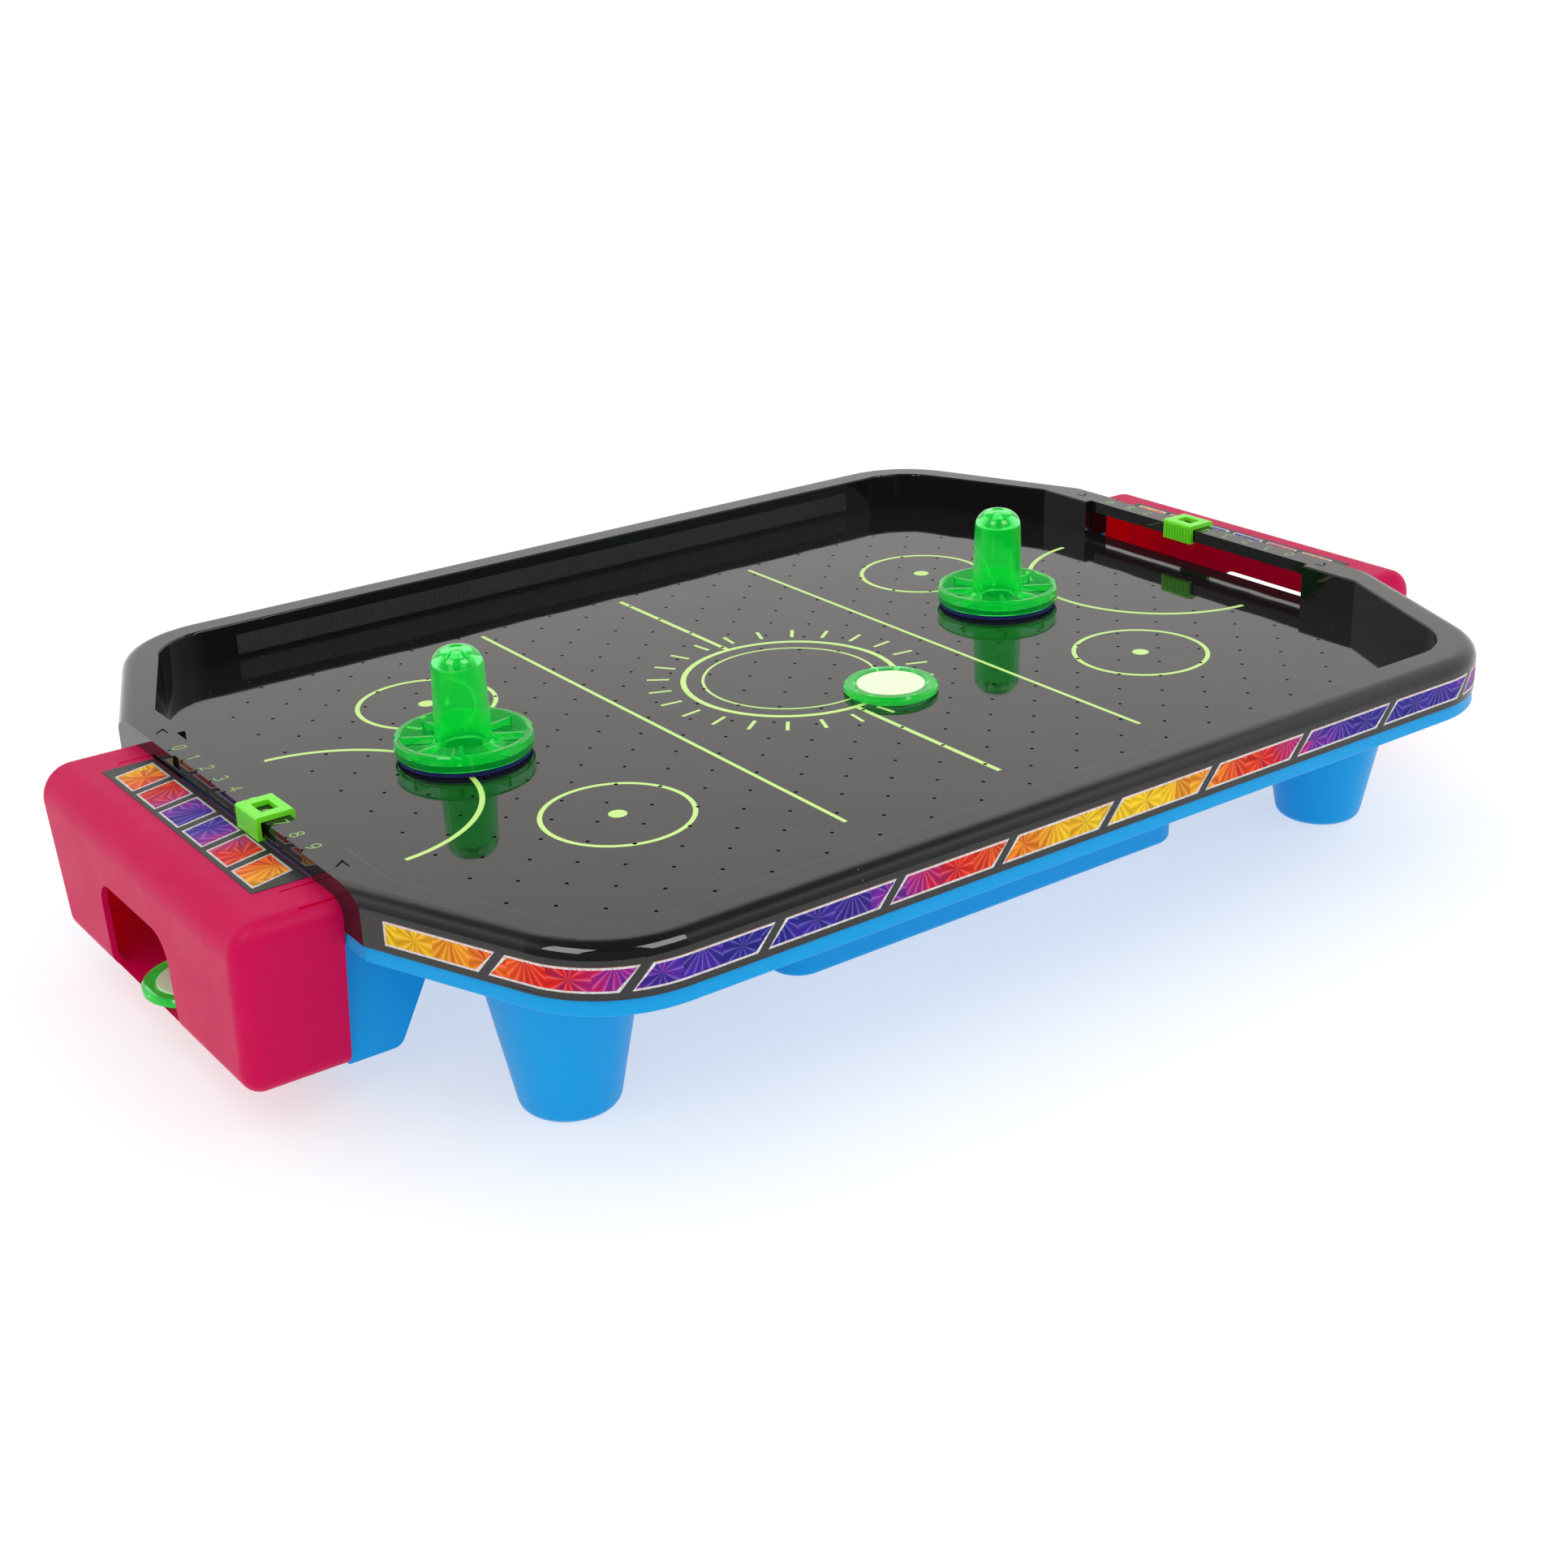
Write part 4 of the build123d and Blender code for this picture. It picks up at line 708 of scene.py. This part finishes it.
def outline(s):
    """Point and outward normal of the outline at length s from its -X end."""
    mirror = s > TOTAL / 2
    q = TOTAL - s if mirror else s
    if q <= SLOPE_RUN:
        x, y = -END_X + SLOPE_DX * q, -END_HALF + SLOPE_DY * q
        nx, ny = SLOPE_DY, -SLOPE_DX
    elif q <= SLOPE_RUN + CORNER_RUN:
        angle = math.atan2(-SLOPE_DX, SLOPE_DY) + (q - SLOPE_RUN) / CORNER_R
        nx, ny = math.cos(angle), math.sin(angle)
        x, y = -SIDE_X + TANGENT + CORNER_R * nx, -SIDE_Y + CORNER_R + CORNER_R * ny
    else:
        x, y = -SIDE_X + TANGENT + (q - SLOPE_RUN - CORNER_RUN), -SIDE_Y
        nx, ny = 0.0, -1.0
    return (-x, y, -nx, ny) if mirror else (x, y, nx, ny)


def band_panels(low, high):
    """Silver borders, foil fills and copper lips of the slanted panels."""
    pitch = (TOTAL - 2 * PANEL_MARGIN + PANEL_GAP) / PANELS
    slanted_inset = SILVER_WIDTH * 1.25
    borders, fills, lips = [], [], []
    for k in range(PANELS):
        a, b = PANEL_MARGIN + pitch * k, PANEL_MARGIN + pitch * (k + 1) - PANEL_GAP
        # the outermost edges of the row stand upright
        first, last = k == 0, k == PANELS - 1
        low_a = a if first else a - PANEL_SLANT
        low_b = b if last else b - PANEL_SLANT
        borders.append([(low_a, low), (low_b, low), (b, high), (a, high)])
        fills.append([(low_a + (SILVER_WIDTH if first else slanted_inset), low + SILVER_WIDTH),
                      (low_b - (SILVER_WIDTH if last else slanted_inset), low + SILVER_WIDTH),
                      (b - slanted_inset, high - SILVER_WIDTH),
                      (a + slanted_inset, high - SILVER_WIDTH)])
        lips.append([(a + 0.2, high), (b - 0.2, high), (b - 0.2, high + 0.16),
                     (a + 0.2, high + 0.16)])
    return borders, fills, lips


def side_band(side, end_name):
    """Film with foil panels along the front (side -1) or back of the skirt."""
    start = (BAND_START_Y - END_HALF) / -SLOPE_DY
    z0, z1 = band_lo.z / MM, band_hi.z / MM
    low, high = z0 + 1.5, z1 - 0.35
    borders, fills, lips = band_panels(low, high)
    left, right = start + 0.02, TOTAL - start - 0.02
    sheet = [[(left, z0), (right, z0), (right, z1), (left, z1)]]
    seams = []
    s = start + 1.0
    while s < TOTAL - start:
        curved = any(CURVED_ZONE[0] <= q <= CURVED_ZONE[1] for q in (s, TOTAL - s))
        seams.append(((s, z0), (s, z1)))
        s += 1.2 if curved else 14.0

    def tone(x, y):
        return 0.5 + 0.5 * math.cos(4 * math.pi * (x / TOTAL - 0.5))

    def place(x, z, h):
        px, py, nx, ny = outline(x)
        px, py = px + nx * h, py + ny * h
        if side > 0:
            px, py = -px, -py
        return Vector((px * MM, py * MM, z * MM))

    obj = art(f"side_band_film_{end_name}", [(sheet, 0), (borders, 1), (lips, 3), (fills, 2)],
              place, (-0.23, -0.004), [FILM, SILVER, FINISH["foil_print"], COPPER],
              "frame", seams=seams, tone=tone)
    # the foil pattern counts its height from the middle of the panels
    middle = -(low + high) / 2
    for d in obj.data.uv_layers["place"].data:
        d.uv = (d.uv[0], d.uv[1] + middle * MM)
    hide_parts(f"side_band_{end_name}")


# ------------------------------------------------------------------ sheets on the goal boxes
def goal_sheet(side, end_name):
    """Printed sheet with six leaning foil panels; drawn for the -X end (side -1)."""
    lo, hi = Vector(sticker_lo) / MM, Vector(sticker_hi) / MM
    inner, outer, half = hi.x, lo.x, hi.y
    count, gap, lean, margin = 6, 3.0, 4.0, 3.0
    border_inset, fill_inset = 1.6, 2.3  # from the sheet's long edges
    wide, narrow = 0.9, 0.7  # silver left at the fill's corners
    width = (2 * half - 2 * margin - lean - gap * (count - 1)) / count
    borders, fills = [], []
    for k in range(count):
        y = -half + margin + k * (width + gap)
        a, b = outer + border_inset, inner - border_inset
        borders.append([(a, y), (b, y + lean), (b, y + lean + width), (a, y + width)])
        a, b = outer + fill_inset, inner - fill_inset
        fills.append([(a, y + wide), (b, y + lean + narrow), (b, y + lean + width - wide),
                      (a, y + width - narrow)])
    sheet = [[(outer, -half), (inner, -half), (inner, half), (outer, half)]]
    seams = [((outer, y), (inner, y)) for y in (*range(-50, -13, 6), *range(14, 51, 6))]

    def tone(x, y):
        return min(1.0, abs(y) / half)

    obj = art(f"goal_sheet_{end_name}", [(sheet, 0), (borders, 1), (fills, 2)],
              level_place(sticker_lo.z, way=-side),
              (0.0, (sticker_hi.z - sticker_lo.z) / MM), [SHEET, SILVER, FINISH["foil_print"]],
              f"goal_box_{end_name}_body", seams=seams, tone=tone)
    # the foil pattern runs along Y here and counts its height from the pattern line
    pattern_x = 221.0
    for d in obj.data.uv_layers["place"].data:
        d.uv = (d.uv[1], d.uv[0] + pattern_x * MM)
    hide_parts(f"goal_sticker_{end_name}")


# ------------------------------------------------------------------ felt rings of the strikers
def felt_profile(r_out, z0, z1):
    """Section of the ring as (radius, z): rounded outer edge, flat faces, three inner points."""
    r_in, edge_r = 10.5 * MM, 0.35 * MM
    middle = (z0 + z1) / 2
    rounded = []
    for k in range(6):
        angle = math.pi / 2 * (1 - k / 2.5)
        rounded.append((r_out - edge_r + edge_r * math.cos(angle),
                        middle + (z1 - z0) / 2 * math.sin(angle)))
    return [(r_in + 3.2 * MM, z1), (r_out - 4 * MM, z1), *rounded,
            (r_out - 4 * MM, z0), (r_in + 3.2 * MM, z0),
            (r_in, z0 + 0.2 * MM), (r_in, middle), (r_in, z1 - 0.2 * MM)]


def felt_ring(node_name, body):
    """Felt ring whose outer edge is roughened by noise."""
    lo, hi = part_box(node_name)
    centre = (lo + hi) / 2
    r_out = (hi.x - lo.x) / 2
    profile = felt_profile(r_out, lo.z, hi.z)
    around, section = 220, len(profile)
    verts, faces = [], []
    for k in range(around):
        angle = 2 * math.pi * k / around

        def at(r, z):
            return Vector((centre.x + r * math.cos(angle), centre.y + r * math.sin(angle), z))

        for r, z in profile:
            p = at(r, z)
            if r > r_out - 1.0 * MM:
                fuzz = noise.noise(p * 2600.0) * 0.10 * MM + noise.noise(p * 700.0) * 0.08 * MM
                p = at(r - 0.10 * MM + fuzz, z)
            verts.append(p)
        j = (k + 1) % around
        for i in range(section):
            m = (i + 1) % section
            faces.append([k * section + i, k * section + m, j * section + m, j * section + i])
    mesh = bpy.data.meshes.new(node_name + "_fibre")
    mesh.from_pydata(verts, [], faces)
    mesh.update()
    for p in mesh.polygons:
        p.use_smooth = True
    mesh.materials.append(FINISH["felt_blue"])
    obj = add_object(node_name + "_fibre", mesh)
    face_outwards(mesh)
    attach(obj, body)
    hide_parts(node_name)


def face_outwards(mesh):
    bm = bmesh.new()
    bm.from_mesh(mesh)
    bmesh.ops.recalc_face_normals(bm, faces=bm.faces)
    bm.to_mesh(mesh)
    bm.free()


playfield_print()
scale_digits(-1, "score_digits_left")
scale_digits(1, "score_digits_right")
side_band(-1, "front")
side_band(1, "back")
goal_sheet(-1, "left")
goal_sheet(1, "right")
felt_ring("striker_left_pad", "striker_left_body")
felt_ring("striker_right_pad", "striker_right_body")


# ------------------------------------------------------------------ floor, world, lights, camera
def floor_material():
    """Pale matt floor, clear from below so that the underside can be looked at."""
    m = new_material("pale_floor")
    cloud = m.noise(scale=3.0, detail=4.0)
    surface = m.principled({
        "Base Color": m.mix(cloud, (0.50, 0.50, 0.50), (0.52, 0.52, 0.52)),
        "Roughness": 0.9, "Specular IOR Level": 0.1,
        "Emission Color": (1.0, 1.0, 1.0), "Emission Strength": 0.56})
    below = m.node("ShaderNodeNewGeometry").outputs["Backfacing"]
    return m.finish(m.mix_shader(below, surface, m.node("ShaderNodeBsdfTransparent")))


def build_floor(half=30):
    material = floor_material()
    mesh = bpy.data.meshes.new("floor")
    corners = [(-half, -half, 0), (half, -half, 0), (half, half, 0), (-half, half, 0)]
    mesh.from_pydata(corners, [], [[0, 1, 2, 3]])
    mesh.materials.append(material)
    add_object("floor", mesh)


def build_world():
    """Separate brightness for reflections, for diffuse light and for the visible backdrop."""
    world = bpy.data.worlds.new("studio")
    bpy.context.scene.world = world
    w = Shading(world, "ShaderNodeOutputWorld")
    rays = w.node("ShaderNodeLightPath").outputs
    direction = w.coord.outputs["Generated"]
    height = w.split(direction)[2]
    # reflections: a white sweep behind the model, dark overhead and dark behind the camera
    overhead = w.ramp(height, [(0.0, 1.0), (0.52, 1.02), (0.65, 1.14), (0.72, 0.80),
                               (0.80, 0.34), (0.90, 0.09), (1.0, 0.05)])
    view_way = (0.584, 0.812, 0.0)
    facing = w.node("ShaderNodeVectorMath", {0: direction, 1: view_way}, operation="DOT_PRODUCT")
    # -1..1 becomes 0..1
    facing_share = w.math("MULTIPLY_ADD", facing.outputs["Value"], 0.5, 0.5)
    behind = w.ramp(facing_share, [(0.0, 0.10), (0.26, 0.14), (0.46, 1.0), (1.0, 1.0)])
    mirror = w.node("ShaderNodeMath", {0: overhead, 1: behind}, operation="MULTIPLY")
    # diffuse light: even, a little stronger from above
    even = w.ramp(height, [(0.0, 0.85), (0.5, 1.02), (1.0, 1.22)])
    backdrop = 1.12
    light = w.mix_float(rays["Is Glossy Ray"], even, mirror)
    strength = w.mix_float(rays["Is Camera Ray"], light, backdrop)
    tint = w.mix(rays["Is Glossy Ray"], (1.0, 1.0, 1.0), (1.0, 0.968, 0.952))
    w.finish(w.node("ShaderNodeBackground", {"Strength": strength, "Color": tint}))


def softbox(name, azimuth, elevation=48, distance=1.6, size=0.7, power=9.0, aim_z=0.06):
    """Square light seen only in reflections; azimuth in degrees from -Y towards +X."""
    a, e = math.radians(azimuth), math.radians(elevation)
    away = Vector((math.sin(a) * math.cos(e), -math.cos(a) * math.cos(e), math.sin(e)))
    data = bpy.data.lights.new(name, "AREA")
    data.shape = "RECTANGLE"
    data.size = data.size_y = size
    data.energy = power
    obj = add_object(name, data)
    obj.visible_diffuse = False
    obj.location = away * distance + Vector((0, 0, aim_z))
    obj.rotation_mode = "QUATERNION"
    obj.rotation_quaternion = (-away).to_track_quat("-Z", "Y")


def build_camera():
    data = bpy.data.cameras.new("camera")
    camera = add_object("camera", data)
    data.sensor_width = 36.0
    data.lens = 50.888
    data.clip_start, data.clip_end = 0.01, 100.0
    # the camera's axes in the frame
    right = Vector((0.80415378, -0.59374045, -0.02844227))
    down = Vector((-0.25417732, -0.30021248, -0.91938369))
    forward = Vector((0.53733656, 0.74655525, -0.39233236))
    turn = Matrix((right, -down, -forward)).transposed()
    camera.matrix_world = Matrix.Translation((-0.43484, -0.59852, 0.33590)) @ turn.to_4x4()
    bpy.context.scene.camera = camera


build_floor()
build_world()
softbox("softbox_left", azimuth=-75)
softbox("softbox_right", azimuth=12)
build_camera()
bpy.context.scene.view_settings.view_transform = "Standard"
bpy.context.scene.view_settings.look = "None"
